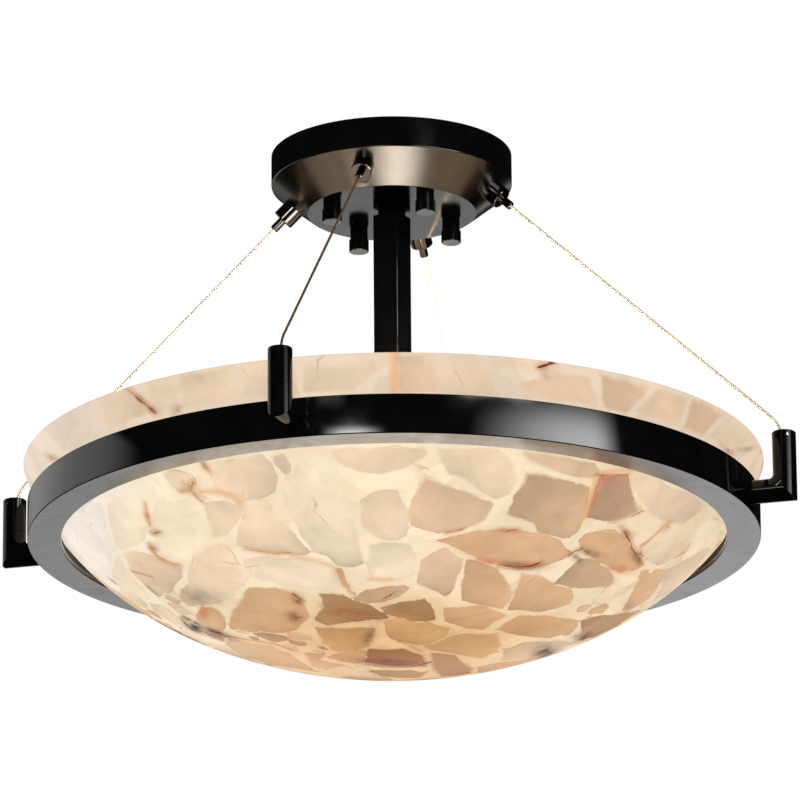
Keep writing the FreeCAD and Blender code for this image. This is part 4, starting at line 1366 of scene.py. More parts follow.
# What shows on the bowl in the photograph, by pixels from its left and top edges.
SHOWN_CHIPS: tuple[PlacedChip, ...] = (
    PlacedChip(Tone.SAND, ((424, 473), (436, 479), (470, 492), (496, 503), (487, 521), (458, 532),
        (436, 533), (409, 525), (412, 500)), 0.2),
    PlacedChip(Tone.CREAM, ((434, 446), (500, 448), (516, 462), (520, 480), (511, 495), (495, 500),
        (478, 490), (462, 480), (447, 476), (440, 463))),
    PlacedChip(Tone.TAN, ((525, 470), (545, 472), (570, 480), (590, 487), (587, 505), (585, 518),
        (578, 532), (568, 539), (550, 535), (536, 531), (531, 524), (505, 515), (513, 495),
        (520, 485))),
    PlacedChip(Tone.SAND, ((520, 449), (553, 453), (595, 463), (600, 470), (597, 478), (575, 478),
        (545, 470), (527, 464))),
    PlacedChip(Tone.CREAM, ((328, 450), (345, 446), (395, 445), (425, 447), (430, 455), (420, 462),
        (405, 470), (385, 475), (360, 473), (345, 468), (335, 460))),
    PlacedChip(Tone.PEACH, ((436, 540), (478, 530), (505, 528), (540, 533), (560, 540), (572, 553),
        (562, 560), (545, 566), (520, 571), (505, 567), (478, 558), (450, 545)), 0.3),
    PlacedChip(Tone.SAND, ((445, 547), (464, 560), (458, 575), (455, 588), (445, 597), (430, 590),
        (415, 584), (421, 560)), 0.1),
    PlacedChip(Tone.PEACH, ((466, 558), (480, 562), (500, 568), (512, 588), (514, 594), (502, 609),
        (480, 605), (462, 600), (460, 585))),
    PlacedChip(Tone.PEACH, ((519, 570), (540, 575), (556, 585), (570, 588), (574, 597), (570, 604),
        (540, 612), (507, 610), (513, 596))),
    PlacedChip(Tone.TAN, ((566, 571), (580, 558), (595, 560), (612, 573), (615, 582), (608, 588),
        (565, 587), (555, 583)), 0.2),
    PlacedChip(Tone.BROWN, ((380, 608), (400, 602), (425, 598), (432, 607), (436, 620), (420, 623),
        (400, 618), (385, 613)), 0.3),
    PlacedChip(Tone.PEACH, ((443, 608), (480, 605), (507, 615), (495, 622), (483, 631), (465, 628),
        (445, 622)), 0.1),
    PlacedChip(Tone.BISCUIT, ((520, 615), (545, 615), (580, 620), (570, 635), (555, 638),
        (530, 637), (493, 630), (505, 622))),
    PlacedChip(Tone.BISCUIT, ((384, 622), (396, 617), (430, 622), (450, 628), (440, 645),
        (420, 650), (400, 642), (388, 638))),
    PlacedChip(Tone.BISCUIT, ((465, 633), (500, 632), (504, 648), (495, 655), (480, 659),
        (450, 653), (410, 648), (404, 643), (430, 641))),
    PlacedChip(Tone.BROWN, ((430, 652), (455, 655), (475, 668), (470, 674), (440, 678),
        (433, 672)), 0.2),
    PlacedChip(Tone.PEACH, ((476, 667), (500, 662), (545, 655), (520, 664), (480, 673))),
    PlacedChip(Tone.BROWN, ((580, 620), (586, 617), (610, 615), (640, 610), (620, 625), (585, 641),
        (578, 638)), 0.7),
    PlacedChip(Tone.UMBER, ((366, 648), (404, 648), (425, 655), (430, 662), (428, 667), (400, 667),
        (366, 663))),
    PlacedChip(Tone.BROWN, ((366, 669), (410, 670), (428, 672), (422, 678), (400, 678),
        (375, 676))),
    PlacedChip(Tone.SAND, ((503, 650), (525, 642), (560, 640), (580, 641), (560, 650), (530, 658),
        (500, 661))),
    PlacedChip(Tone.PEACH, ((578, 540), (585, 533), (605, 529), (620, 531), (632, 550), (645, 565),
        (635, 570), (620, 572), (600, 562), (580, 548)), 0.7),
    PlacedChip(Tone.CLAY, ((601, 474), (628, 474), (636, 500), (645, 510), (625, 520), (612, 524),
        (585, 517), (590, 505), (596, 487)), 0.9),
    PlacedChip(Tone.SHELL, ((640, 474), (660, 480), (690, 492), (705, 505), (700, 513), (682, 526),
        (655, 518), (645, 513), (638, 500), (630, 480))),
    PlacedChip(Tone.CREAM, ((640, 545), (650, 538), (665, 525), (692, 530), (688, 550), (670, 563),
        (655, 565), (640, 555)), 0.8),
    PlacedChip(Tone.PALE, ((707, 515), (719, 520), (722, 530), (720, 540), (705, 548), (678, 564),
        (690, 543), (697, 530)), 0.3),
    PlacedChip(Tone.PEACH, ((640, 570), (668, 568), (650, 598), (640, 606), (622, 610),
        (630, 595)), 0.3),
    PlacedChip(Tone.SHELL, ((670, 566), (706, 548), (712, 552), (695, 570), (660, 598), (650, 602),
        (665, 575))),
    PlacedChip(Tone.CREAM, ((250, 503), (256, 500), (268, 500), (275, 513), (285, 522), (300, 541),
        (312, 553), (300, 556), (275, 553), (250, 550), (236, 546), (238, 530), (243, 515)), 0.3),
    PlacedChip(Tone.CREAM, ((203, 503), (222, 500), (243, 507), (247, 510), (240, 520), (232, 530),
        (226, 537), (215, 540), (209, 537), (206, 520))),
    PlacedChip(Tone.CREAM, ((207, 468), (215, 460), (262, 452), (270, 460), (278, 475), (276, 492),
        (268, 497), (248, 500), (240, 505), (225, 497), (215, 490), (212, 478)), 0.3),
    PlacedChip(Tone.SHELL, ((270, 455), (284, 452), (292, 468), (297, 477), (284, 474),
        (275, 466))),
    PlacedChip(Tone.PALE, ((285, 478), (300, 462), (303, 460), (316, 468), (323, 484), (332, 489),
        (341, 488), (345, 500), (352, 512), (357, 530), (360, 545), (365, 563), (350, 568),
        (336, 565), (325, 555), (313, 552), (300, 535), (290, 515), (284, 498)), 0.1),
    PlacedChip(Tone.CREAM, ((360, 500), (370, 493), (385, 488), (398, 489), (402, 500), (408, 510),
        (410, 522), (407, 535), (396, 541), (375, 538), (362, 530), (360, 515))),
    PlacedChip(Tone.CREAM, ((190, 568), (193, 552), (205, 545), (222, 544), (232, 548), (240, 560),
        (245, 572), (250, 578), (240, 590), (230, 598), (218, 603), (200, 607), (188, 606),
        (180, 600), (182, 590), (188, 582)), 0.3),
    PlacedChip(Tone.SHELL, ((122, 552), (136, 550), (155, 555), (168, 562), (185, 566), (183, 578),
        (172, 592), (158, 597), (145, 586), (133, 575))),
    PlacedChip(Tone.IVORY, ((103, 503), (117, 492), (135, 500), (144, 508), (143, 520), (147, 528),
        (145, 540), (138, 545), (122, 552), (112, 545), (108, 528))),
    PlacedChip(Tone.WHITE, ((66, 530), (70, 520), (82, 505), (101, 498), (108, 510), (110, 530),
        (118, 548), (112, 575), (100, 578), (85, 560), (68, 545))),
    PlacedChip(Tone.IVORY, ((156, 500), (185, 498), (203, 505), (206, 520), (210, 540), (200, 550),
        (190, 562), (170, 560), (158, 553), (154, 535), (152, 515))),
    PlacedChip(Tone.PALE, ((160, 472), (175, 470), (192, 474), (197, 482), (192, 490), (180, 495),
        (170, 485)), 0.5),
    PlacedChip(Tone.PEACH, ((243, 592), (250, 587), (275, 586), (290, 590), (300, 596), (307, 605),
        (310, 617), (300, 625), (297, 630), (280, 633), (250, 632), (230, 629), (228, 618),
        (235, 605))),
    PlacedChip(Tone.PALE, ((240, 560), (262, 556), (300, 558), (325, 562), (335, 570), (343, 585),
        (352, 595), (340, 594), (318, 590), (290, 585), (262, 582), (245, 575))),
    PlacedChip(Tone.BROWN, ((318, 593), (335, 593), (352, 599), (370, 605), (385, 614), (390, 618),
        (370, 620), (345, 623), (328, 626), (315, 620), (322, 607))),
    PlacedChip(Tone.BISCUIT, ((315, 627), (332, 627), (355, 627), (376, 628), (374, 640),
        (371, 647), (355, 650), (338, 652), (325, 648), (320, 638))),
    PlacedChip(Tone.BISCUIT, ((325, 657), (345, 651), (368, 648), (366, 658), (362, 665),
        (345, 662))),
    PlacedChip(Tone.PEACH, ((335, 568), (342, 568), (346, 580), (352, 590), (360, 595), (354, 597),
        (345, 592), (339, 582))),
    PlacedChip(Tone.TAN, ((350, 598), (365, 590), (385, 586), (405, 585), (410, 588), (400, 597),
        (385, 602), (365, 603))),
    PlacedChip(Tone.PEACH, ((302, 652), (325, 652), (322, 660), (345, 665), (330, 672),
        (310, 666))),
    PlacedChip(Tone.PEACH, ((197, 622), (195, 615), (203, 607), (212, 606), (220, 611), (225, 617),
        (226, 628), (220, 632), (205, 630)), 0.5),
    PlacedChip(Tone.SHELL, ((92, 400), (124, 387), (140, 402), (153, 415), (110, 432),
        (100, 415)), 0.9),
    PlacedChip(Tone.SHELL, ((140, 383), (175, 373), (180, 395), (178, 412), (160, 418),
        (155, 410))),
    PlacedChip(Tone.SHELL, ((178, 373), (235, 362), (240, 398), (182, 410)), 0.2),
    PlacedChip(Tone.SHELL, ((241, 361), (296, 356), (300, 395), (262, 397), (243, 399))),
    PlacedChip(Tone.SHELL, ((300, 360), (390, 355), (392, 365), (370, 380), (355, 393),
        (300, 395)), 0.2),
    PlacedChip(Tone.SAND, ((397, 354), (425, 354), (438, 393), (397, 393)), 0.9),
    PlacedChip(Tone.SHELL, ((430, 356), (487, 357), (500, 397), (438, 393))),
    PlacedChip(Tone.SAND, ((514, 382), (555, 372), (590, 375), (605, 412), (530, 398)), 0.6),
    PlacedChip(Tone.TAN, ((600, 372), (655, 385), (627, 415), (600, 410)), 0.1),
    PlacedChip(Tone.SAND, ((655, 386), (690, 397), (678, 430), (632, 412))),
    PlacedChip(Tone.TAN, ((690, 397), (727, 413), (702, 438), (680, 430)), 0.3),
    PlacedChip(Tone.SHELL, ((727, 413), (745, 425), (762, 445), (720, 447), (705, 438))),
    PlacedChip(Tone.PALE, ((113, 555), (121, 554), (132, 577), (144, 588), (150, 600), (135, 597),
        (120, 588), (110, 575))),
    PlacedChip(Tone.PEACH, ((228, 637), (250, 642), (278, 646), (290, 652), (300, 660), (320, 672),
        (290, 668), (262, 662), (240, 655), (225, 645))),
    PlacedChip(Tone.PALE, ((368, 545), (385, 542), (410, 545), (416, 555), (415, 575), (400, 580),
        (372, 580), (366, 565))),
)

SHOWN_VEINS: tuple[Vein, ...] = (
    Vein(Stain.RUST, 0.54, ((145, 503), (147, 512), (149, 520), (150, 526))),
    Vein(Stain.BARK, 0.34, ((153, 534), (160, 532))),
    Vein(Stain.RUST, 0.54, ((150, 545), (152, 551), (160, 558), (170, 563), (180, 565))),
    Vein(Stain.BARK, 0.31, ((180, 491), (190, 489), (195, 495), (203, 502))),
    Vein(Stain.BARK, 0.31, ((203, 463), (208, 470))),
    Vein(Stain.BARK, 0.31, ((193, 482), (190, 490))),
    Vein(Stain.AMBER, 0.48, ((196, 492), (215, 491), (230, 494), (243, 505))),
    Vein(Stain.SOOT, 0.24, ((132, 571), (142, 574), (152, 577))),
    Vein(Stain.SOOT, 0.24, ((147, 586), (157, 594))),
    Vein(Stain.RUST, 0.31, ((245, 550), (258, 551), (275, 554), (290, 553))),
    Vein(Stain.AMBER, 0.34, ((290, 556), (305, 558), (320, 561), (332, 567))),
    Vein(Stain.BLOOD, 0.44, ((293, 593), (298, 598), (304, 601))),
    Vein(Stain.BLOOD, 0.34, ((288, 616), (295, 617), (302, 617))),
    Vein(Stain.BLOOD, 0.48, ((345, 614), (358, 617), (378, 618))),
    Vein(Stain.BARK, 0.31, ((398, 641), (408, 645), (420, 651))),
    Vein(Stain.BLOOD, 1.02, ((366, 664), (385, 667), (410, 667), (430, 662))),
    Vein(Stain.BLOOD, 0.61, ((410, 676), (420, 675), (428, 671))),
    Vein(Stain.SOOT, 0.88, ((181, 618), (188, 626), (200, 631), (215, 635), (232, 637))),
    Vein(Stain.BARK, 0.48, ((232, 637), (250, 640), (275, 644), (296, 651))),
    Vein(Stain.BLOOD, 0.88, ((500, 565), (515, 567), (530, 566), (540, 563))),
    Vein(Stain.BLOOD, 0.31, ((505, 532), (512, 530), (518, 530))),
    Vein(Stain.AMBER, 0.82, ((597, 478), (593, 490), (590, 500), (585, 515))),
    Vein(Stain.BLOOD, 0.34, ((598, 474), (604, 476))),
    Vein(Stain.AMBER, 0.68, ((604, 474), (620, 470), (632, 470))),
    Vein(Stain.BARK, 0.48, ((568, 556), (573, 552), (582, 549))),
    Vein(Stain.BARK, 0.31, ((446, 533), (455, 531), (462, 529))),
    Vein(Stain.RUST, 0.34, ((478, 559), (486, 561), (492, 562))),
    Vein(Stain.RUST, 0.41, ((643, 545), (655, 535), (668, 523))),
    Vein(Stain.BARK, 0.37, ((625, 532), (632, 548), (637, 557))),
    Vein(Stain.RUST, 0.41, ((622, 572), (612, 568))),
    Vein(Stain.BARK, 0.88, ((124, 386), (132, 393), (140, 400), (148, 406), (155, 412))),
    Vein(Stain.AMBER, 0.75, ((394, 354), (394, 375), (394, 393))),
    Vein(Stain.BLOOD, 0.75, ((538, 368), (548, 364), (556, 362))),
    Vein(Stain.RUST, 0.44, ((577, 640), (583, 634), (590, 628))),
    Vein(Stain.AMBER, 0.34, ((370, 579), (390, 579))),
    Vein(Stain.BLOOD, 0.24, ((383, 599), (397, 591))),
)

# Soft patches of colour, mostly painted shade at the lower edges of chips and beside veins.
SHOWN_SHADE_PATCHES: tuple[ShadePatch, ...] = (
    ShadePatch((148, 132, 112), 0.75, ((200, 598), (222, 600), (200, 605))),
    ShadePatch((26, 17, 10), 1.0, ((195, 628), (205, 631), (195, 633))),
    ShadePatch((92, 58, 34), 0.9, ((216, 633), (237, 638), (216, 637))),
    ShadePatch((196, 120, 84), 0.7, ((204, 614), (210, 613), (204, 622))),
    ShadePatch((226, 160, 115), 0.6, ((147, 516), (150, 524), (151, 515))),
    ShadePatch((170, 125, 80), 0.6, ((155, 532), (163, 534), (155, 536))),
    ShadePatch((110, 70, 45), 0.7, ((153, 548), (157, 553), (157, 546))),
    ShadePatch((208, 160, 118), 0.6, ((164, 560), (176, 565), (164, 564))),
    ShadePatch((190, 148, 100), 0.5, ((188, 486), (200, 492), (192, 480))),
    ShadePatch((175, 115, 75), 0.6, ((205, 466), (211, 470), (206, 471))),
    ShadePatch((238, 190, 135), 0.5, ((222, 494), (245, 499), (222, 498))),
    ShadePatch((110, 45, 35), 0.8, ((298, 600), (304, 605), (302, 597))),
    ShadePatch((115, 55, 40), 0.8, ((294, 617), (300, 620), (297, 613))),
    ShadePatch((150, 85, 60), 0.6, ((352, 614), (378, 618), (352, 620))),
    ShadePatch((158, 122, 92), 0.5, ((330, 606), (342, 604), (331, 612))),
    ShadePatch((132, 98, 70), 0.7, ((369, 637), (376, 634), (368, 645))),
    ShadePatch((205, 168, 122), 0.5, ((260, 660), (280, 664), (260, 666))),
    ShadePatch((214, 180, 138), 0.5, ((240, 652), (262, 657), (240, 657))),
    ShadePatch((196, 150, 108), 0.5, ((339, 576), (344, 586), (343, 574))),
    ShadePatch((228, 184, 136), 0.5, ((270, 552), (290, 556), (270, 556))),
    ShadePatch((128, 52, 34), 0.85, ((392, 663), (425, 664), (392, 667))),
    ShadePatch((165, 110, 75), 0.6, ((400, 655), (425, 657), (400, 660))),
    ShadePatch((120, 32, 22), 0.9, ((520, 566), (545, 567), (520, 570))),
    ShadePatch((190, 110, 75), 0.5, ((490, 562), (510, 565), (490, 566))),
    ShadePatch((190, 110, 75), 0.6, ((508, 530), (522, 531), (508, 533))),
    ShadePatch((226, 170, 125), 0.5, ((470, 553), (490, 558), (470, 557))),
    ShadePatch((95, 70, 52), 0.65, ((590, 553), (603, 556), (590, 558))),
    ShadePatch((70, 50, 36), 0.6, ((576, 557), (582, 560), (577, 562))),
    ShadePatch((150, 72, 48), 0.8, ((626, 533), (632, 540), (629, 530))),
    ShadePatch((96, 52, 32), 0.85, ((637, 557), (641, 564), (641, 554))),
    ShadePatch((205, 140, 95), 0.7, ((621, 569), (632, 570), (621, 574))),
    ShadePatch((205, 120, 80), 0.6, ((607, 478), (620, 476), (607, 484))),
    ShadePatch((200, 120, 80), 0.65, ((592, 500), (597, 485), (596, 503))),
    ShadePatch((95, 45, 28), 0.9, ((582, 637), (592, 634), (583, 641))),
    ShadePatch((60, 26, 14), 1.0, ((545, 653), (557, 650), (545, 657))),
    ShadePatch((176, 120, 80), 0.6, ((628, 608), (632, 602), (632, 611))),
    ShadePatch((160, 112, 78), 0.5, ((384, 617), (392, 612), (388, 621))),
    ShadePatch((150, 110, 78), 0.45, ((405, 610), (425, 613), (405, 616))),
    ShadePatch((214, 170, 120), 0.4, ((430, 637), (460, 640), (430, 643))),
    ShadePatch((205, 150, 105), 0.5, ((665, 527), (672, 520), (668, 530))),
    ShadePatch((168, 120, 84), 0.75, ((141, 400), (152, 410), (144, 397))),
    ShadePatch((120, 85, 55), 0.7, ((151, 409), (157, 413), (153, 406))),
    ShadePatch((150, 110, 78), 0.5, ((177, 410), (181, 404), (181, 412))),
    ShadePatch((190, 160, 125), 0.4, ((196, 376), (203, 380), (198, 373))),
    ShadePatch((176, 130, 80), 0.7, ((52, 458), (60, 461), (52, 462))),
    ShadePatch((232, 178, 130), 0.7, ((395, 373), (398, 395), (389, 373))),
    ShadePatch((180, 95, 60), 0.6, ((396, 357), (398, 366), (393, 357))),
    ShadePatch((228, 178, 130), 0.5, ((432, 376), (437, 394), (428, 377))),
    ShadePatch((196, 150, 100), 0.6, ((545, 369), (557, 373), (545, 365))),
    ShadePatch((120, 85, 50), 0.5, ((545, 374), (549, 377), (546, 371))),
    ShadePatch((228, 185, 130), 0.5, ((522, 364), (540, 368), (522, 369))),
    ShadePatch((170, 90, 60), 0.6, ((728, 451), (735, 455), (728, 454))),
    ShadePatch((120, 85, 65), 0.5, ((747, 449), (756, 448), (747, 452))),
)

@dataclass
class Chip:
    """One chip on the bowl: its outline on its own plane, its tone, its rust and the way its
    painted shade runs, in mm.
    """

    centre: np.ndarray
    across: np.ndarray
    along: np.ndarray
    outline: np.ndarray
    tone: Tone
    rust: float
    shade_turn: float


@dataclass(frozen=True)
class StoneBowl:
    """Bowl cut from an ellipsoid, with chips of stone set in cream resin, in mm.

    Chips, veins and patches of painted shade that the photograph shows are placed by its pixels,
    and the other sides get random chips of the listed sizes, each size with its number of tries.
    """

    radius_full: float = 258.5
    depth_full: float = 180.5
    centre_drop: float = 179.4
    rim_drop: float = 222.5
    wall: float = 9.0
    rim_edge: float = 1.2
    rim_lap: float = 0.1
    rows: int = 180
    turns: int = 640
    seed: int = 7
    inner_glow: float = 0.9
    view: Viewpoint = Viewpoint()
    camera_way: Triple = (0.0, -0.953, -0.304)
    known_side: float = 0.1
    known_margin: float = 0.3
    large: float = 25.0
    sizes: tuple[tuple[float, int], ...] = (
        (30.0, 400), (22.0, 900), (15.0, 1800), (9.0, 3500), (5.0, 4000))
    size_spread: Span = (0.85, 1.15)
    crowding: float = 0.84
    flatness: float = 0.84
    corner_counts: tuple[int, int] = (4, 8)
    corner_shift: float = 0.3
    corner_reach: Span = (0.9, 1.4)
    rusts: tuple[float, ...] = (0.0, 0.0, 0.0, 0.3, 0.9)
    break_at: Span = (0.35, 0.65)
    break_lean: float = 0.05
    chip_reach: float = 1.5
    chip_margin: float = 8.0
    seam: float = 0.5
    # Painted shade inside each chip: darker towards one side, and darker along its lower edge.
    slope_shade: float = 0.26
    rim_shade: float = 0.2
    rim_width: float = 3.5
    far: float = 30.0
    vein_reach: float = 14.0
    shade_patch_fall: float = 1.1
    shade_patch_reach: float = 4.0

    def outer_spot(self, level: np.ndarray, turn: np.ndarray) -> np.ndarray:
        """Points on the outer face.

        Args:
            level: elliptic angle below the ellipsoid's middle, in radians.
            turn: angle about Z from +X, in radians.

        Returns:
            Three columns, in mm.
        """
        out = self.radius_full * np.cos(level)
        up = -self.centre_drop - self.depth_full * np.sin(level)
        return np.stack([out * np.cos(turn), out * np.sin(turn), up], axis=-1)

    def facing(self, spot: np.ndarray) -> np.ndarray:
        """Works out which way the outer face looks.

        Args:
            spot: a point on it, in mm.

        Returns:
            Its normal there.
        """
        scaled = np.array((spot[0] / self.radius_full ** 2, spot[1] / self.radius_full ** 2,
                           (spot[2] + self.centre_drop) / self.depth_full ** 2))
        return scaled / np.linalg.norm(scaled)

    def profile(self) -> tuple[np.ndarray, np.ndarray, np.ndarray]:
        """The wall's section, from the outer pole round the rim to the inner pole.

        Returns:
            Points, normals, and the elliptic angle of each point.
        """
        points, normals, levels = [], [], []

        def face(inset: float, sign: float, angles: np.ndarray) -> None:
            """Adds the points of one face.

            Args:
                inset: how far it lies inside the outer face, in mm.
                sign: which way it looks, 1 outwards.
                angles: its elliptic angles, in radians.
            """
            wide, deep = self.radius_full - inset, self.depth_full - inset
            for angle in angles:
                out, up = wide * math.cos(angle), -deep * math.sin(angle)
                lean = np.array((out / wide ** 2, up / deep ** 2))
                points.append((out if angle < math.pi / 2 - TINY else 0.0,
                               up - self.centre_drop))
                normals.append(sign * lean / np.linalg.norm(lean))
                levels.append(angle)

        fall = self.rim_drop - self.centre_drop
        outer_top = math.asin((fall + self.rim_edge) / self.depth_full)
        inner_top = math.asin((fall + self.rim_edge) / (self.depth_full - self.wall))
        face(0.0, 1.0, np.linspace(math.pi / 2, outer_top, self.rows))
        outer_out = self.radius_full * math.cos(outer_top) - self.rim_lap
        inner_out = (self.radius_full - self.wall) * math.cos(inner_top) + self.rim_lap
        turns = [step / (ARC_STEPS + 1) * math.pi / 2 for step in range(1, ARC_STEPS + 1)]
        for centre, sign, arc in ((outer_out - self.rim_edge, 1.0, turns),
                                  (inner_out + self.rim_edge, -1.0, reversed(turns))):
            for turn in arc:
                way = np.array((sign * math.cos(turn), math.sin(turn)))
                points.append((centre + self.rim_edge * way[0],
                               -self.rim_drop - self.rim_edge * (1 - way[1])))
                normals.append(way)
                levels.append(outer_top)
        face(self.wall, -1.0, np.linspace(inner_top, math.pi / 2, self.rows // 2))
        return np.array(points), np.array(normals), np.array(levels)

    def place_of(self, pixel: Pixel) -> np.ndarray:
        """Finds the point of the outer face that a pixel shows.

        Args:
            pixel: its place from the photograph's left and top edges.

        Returns:
            The point in mm, to a tenth of a degree round and down the bowl.
        """
        reach = np.array((self.radius_full, self.radius_full, self.depth_full))
        start = (self.view.spot() + (0.0, 0.0, self.centre_drop)) / reach
        way = self.view.ray(pixel) / reach
        square, half = way @ way, start @ way
        short = max(0.0, half * half - square * (start @ start - 1.0))
        place = start - way * (half + math.sqrt(short)) / square
        place = place / np.linalg.norm(place)
        azimuth = round(math.degrees(math.atan2(place[0], -place[1])), 1)
        level = round(math.degrees(math.asin(-place[2])), 1)
        return self.outer_spot(np.array(math.radians(level)),
                               np.array(math.radians(azimuth - 90.0)))

    def plane_at(self, spot: np.ndarray) -> tuple[np.ndarray, np.ndarray]:
        """Works out the directions in the outer face.

        Args:
            spot: a point on it, in mm.

        Returns:
            The level one and the upward one there.
        """
        normal = self.facing(spot)
        across = np.cross((0.0, 0.0, 1.0), normal)
        length = np.linalg.norm(across)
        across = across / length if length > TINY else np.array((1.0, 0.0, 0.0))
        return across, np.cross(normal, across)

    def broken(self, draw: np.random.Generator, outline: np.ndarray) -> np.ndarray:
        """Breaks each side of an outline once, a little off its middle.

        Args:
            draw: the random numbers.
            outline: the outline's corners.

        Returns:
            Twice as many corners.
        """
        ahead = np.roll(outline, -1, axis=0)
        side = ahead - outline
        share = draw.uniform(*self.break_at, len(outline))[:, None]
        lean = draw.uniform(-self.break_lean, self.break_lean, len(outline))[:, None]
        middle = outline + side * share + side[:, ::-1] * (-1.0, 1.0) * lean
        return np.stack([outline, middle], axis=1).reshape(-1, 2)

    def known_chips(self, draw: np.random.Generator) -> list[Chip]:
        """Sets the chips that the photograph shows.

        Args:
            draw: the random numbers.

        Returns:
            The chips.
        """
        chips = []
        for placed in SHOWN_CHIPS:
            spots = np.array([self.place_of(corner) for corner in placed.corners])
            middle = spots.mean(axis=0)
            across, along = self.plane_at(middle)
            flat = np.stack([(spots - middle) @ across, (spots - middle) @ along], axis=1)
            chips.append(Chip(middle, across, along, self.broken(draw, flat), placed.tone,
                              placed.rust, draw.uniform(0, 2 * math.pi)))
        return chips

    def scattered(self) -> list[Chip]:
        """Sets the chips that the photograph shows, then random ones on the other sides.

        Returns:
            All the chips.
        """
        draw = np.random.default_rng(self.seed)
        chips = self.known_chips(draw)
        toward = np.array(self.camera_way)
        spots = [(chip.centre, np.linalg.norm(chip.outline, axis=1).mean()) for chip in chips]
        top = math.asin((self.rim_drop - self.centre_drop) / self.depth_full)
        for size, tries in self.sizes:
            least = self.known_side + (self.known_margin if size < self.large else 0.0)
            for _ in range(tries):
                turn = draw.uniform(0, 2 * math.pi)
                level = math.asin(draw.uniform(math.sin(top), 1.0))
                if draw.random() > math.hypot(math.cos(level), math.sin(level)):
                    continue
                spot = self.outer_spot(np.array(level), np.array(turn))
                radius = size * draw.uniform(*self.size_spread)
                if self.facing(spot) @ toward > least:
                    continue
                if any(np.linalg.norm(spot - other) < self.crowding * (radius + reach)
                       for other, reach in spots):
                    continue
                spots.append((spot, radius))
                chips.append(self.random_chip(draw, spot, radius))
        return chips

    def random_chip(self, draw: np.random.Generator, spot: np.ndarray, radius: float) -> Chip:
        """Cuts one random chip.

        Args:
            draw: the random numbers.
            spot: its middle on the outer face.
            radius: its mean radius.

        Returns:
            The chip.
        """
        across, along = self.plane_at(spot)
        count = int(draw.integers(*self.corner_counts))
        start = draw.uniform(0, 2 * math.pi)
        shift = draw.uniform(-self.corner_shift, self.corner_shift, count)
        turns = start + (np.arange(count) + shift) * 2 * math.pi / count
        reach = radius * draw.uniform(*self.corner_reach, count)
        outline = np.stack([np.cos(turns) * reach, np.sin(turns) * reach * self.flatness],
                           axis=1)
        weights = np.array(list(COMMON_TONES.values()), float)
        tone = list(COMMON_TONES)[int(draw.choice(len(weights), p=weights / weights.sum()))]
        rust = float(draw.choice(self.rusts))
        return Chip(spot, across, along, self.broken(draw, outline), tone, rust,
                    draw.uniform(0, 2 * math.pi))

    @staticmethod
    def inside_depth(local: np.ndarray, outline: np.ndarray) -> np.ndarray:
        """How far points lie inside an outline, and below zero outside.

        Args:
            local: points on the chip's plane, two columns.
            outline: the outline's corners in order.

        Returns:
            The signed depth of each point.
        """
        nearest = np.full(len(local), np.inf)
        within = np.zeros(len(local), bool)
        for start, end in zip(outline, np.roll(outline, -1, axis=0)):
            edge = end - start
            share = np.clip(((local - start) @ edge) / (edge @ edge), 0, 1)
            gap = np.linalg.norm(local - start - share[:, None] * edge, axis=1)
            nearest = np.minimum(nearest, gap)
            crosses = (start[1] > local[:, 1]) != (end[1] > local[:, 1])
            rise = end[1] - start[1]
            reach = start[0] + (local[:, 1] - start[1]) / (rise if rise else TINY) * edge[0]
            within ^= crosses & (local[:, 0] < reach)
        return np.where(within, nearest, -nearest)

    def paint(self, bowl: bpy.types.Object, anchors: np.ndarray, glow: np.ndarray,
              chips: list[Chip]) -> None:
        """Writes each point's chip with its painted shade, vein, patch of painted shade and glow
        on the mesh.

        Args:
            bowl: the bowl's object.
            anchors: each vertex's place on the outer face.
            glow: how brightly each vertex is lit from inside.
            chips: all the chips.
        """
        best = np.full(len(anchors), -2 * self.far)
        second = best.copy()
        tint = np.ones((len(anchors), 4))
        rust = np.zeros(len(anchors))
        for chip in chips:
            reach = np.abs(chip.outline).max() * self.chip_reach + self.chip_margin
            close = np.nonzero(np.linalg.norm(anchors - chip.centre, axis=1) < reach)[0]
            offset = anchors[close] - chip.centre
            local = np.stack([offset @ chip.across, offset @ chip.along], axis=1)
            depth = self.inside_depth(local, chip.outline)
            wins = depth > best[close]
            winners, losers = close[wins], close[~wins]
            second[winners] = best[winners]
            best[winners] = depth[wins]
            second[losers] = np.maximum(second[losers], depth[~wins])
            # Painted shade: each chip darker towards one side, and darker along its lower edge.
            slope = (local[wins] @ np.array((math.cos(chip.shade_turn),
                                             math.sin(chip.shade_turn)))) / reach
            tone = np.array(screen_colour(*chip.tone.value)[:3])
            lower = np.clip(-local[wins][:, 1] / reach * 2.0, 0.0, 1.0)
            rim = np.exp(-np.maximum(depth[wins], 0.0) / self.rim_width) * lower
            shade = 1.0 + self.slope_shade * slope - self.rim_shade * rim
            tint[winners, :3] = tone * shade[:, None]
            rust[winners] = chip.rust
        gap = np.minimum(best, (best - second) / 2 - self.seam)
        veins, vein_tint = self.stained(anchors)
        # Patches of painted shade.
        shade_patch, shade_patch_tint = self.shade_patches(anchors)
        for name, values in (("chip_colour", tint), ("chip_depth", gap), ("chip_rust", rust),
                             ("vein_colour", vein_tint), ("vein_near", -veins[0]),
                             ("vein_across", veins[1]), ("vein_beyond", veins[2]),
                             ("vein_width", veins[3]), ("shade_patch_share", shade_patch),
                             ("shade_patch_colour", shade_patch_tint), ("glow", glow)):
            kind, key = ("FLOAT_COLOR", "color") if values.ndim == 2 else ("FLOAT", "value")
            layer = bowl.data.attributes.new(name, kind, "POINT")
            layer.data.foreach_set(key, values.astype(np.float32).ravel())

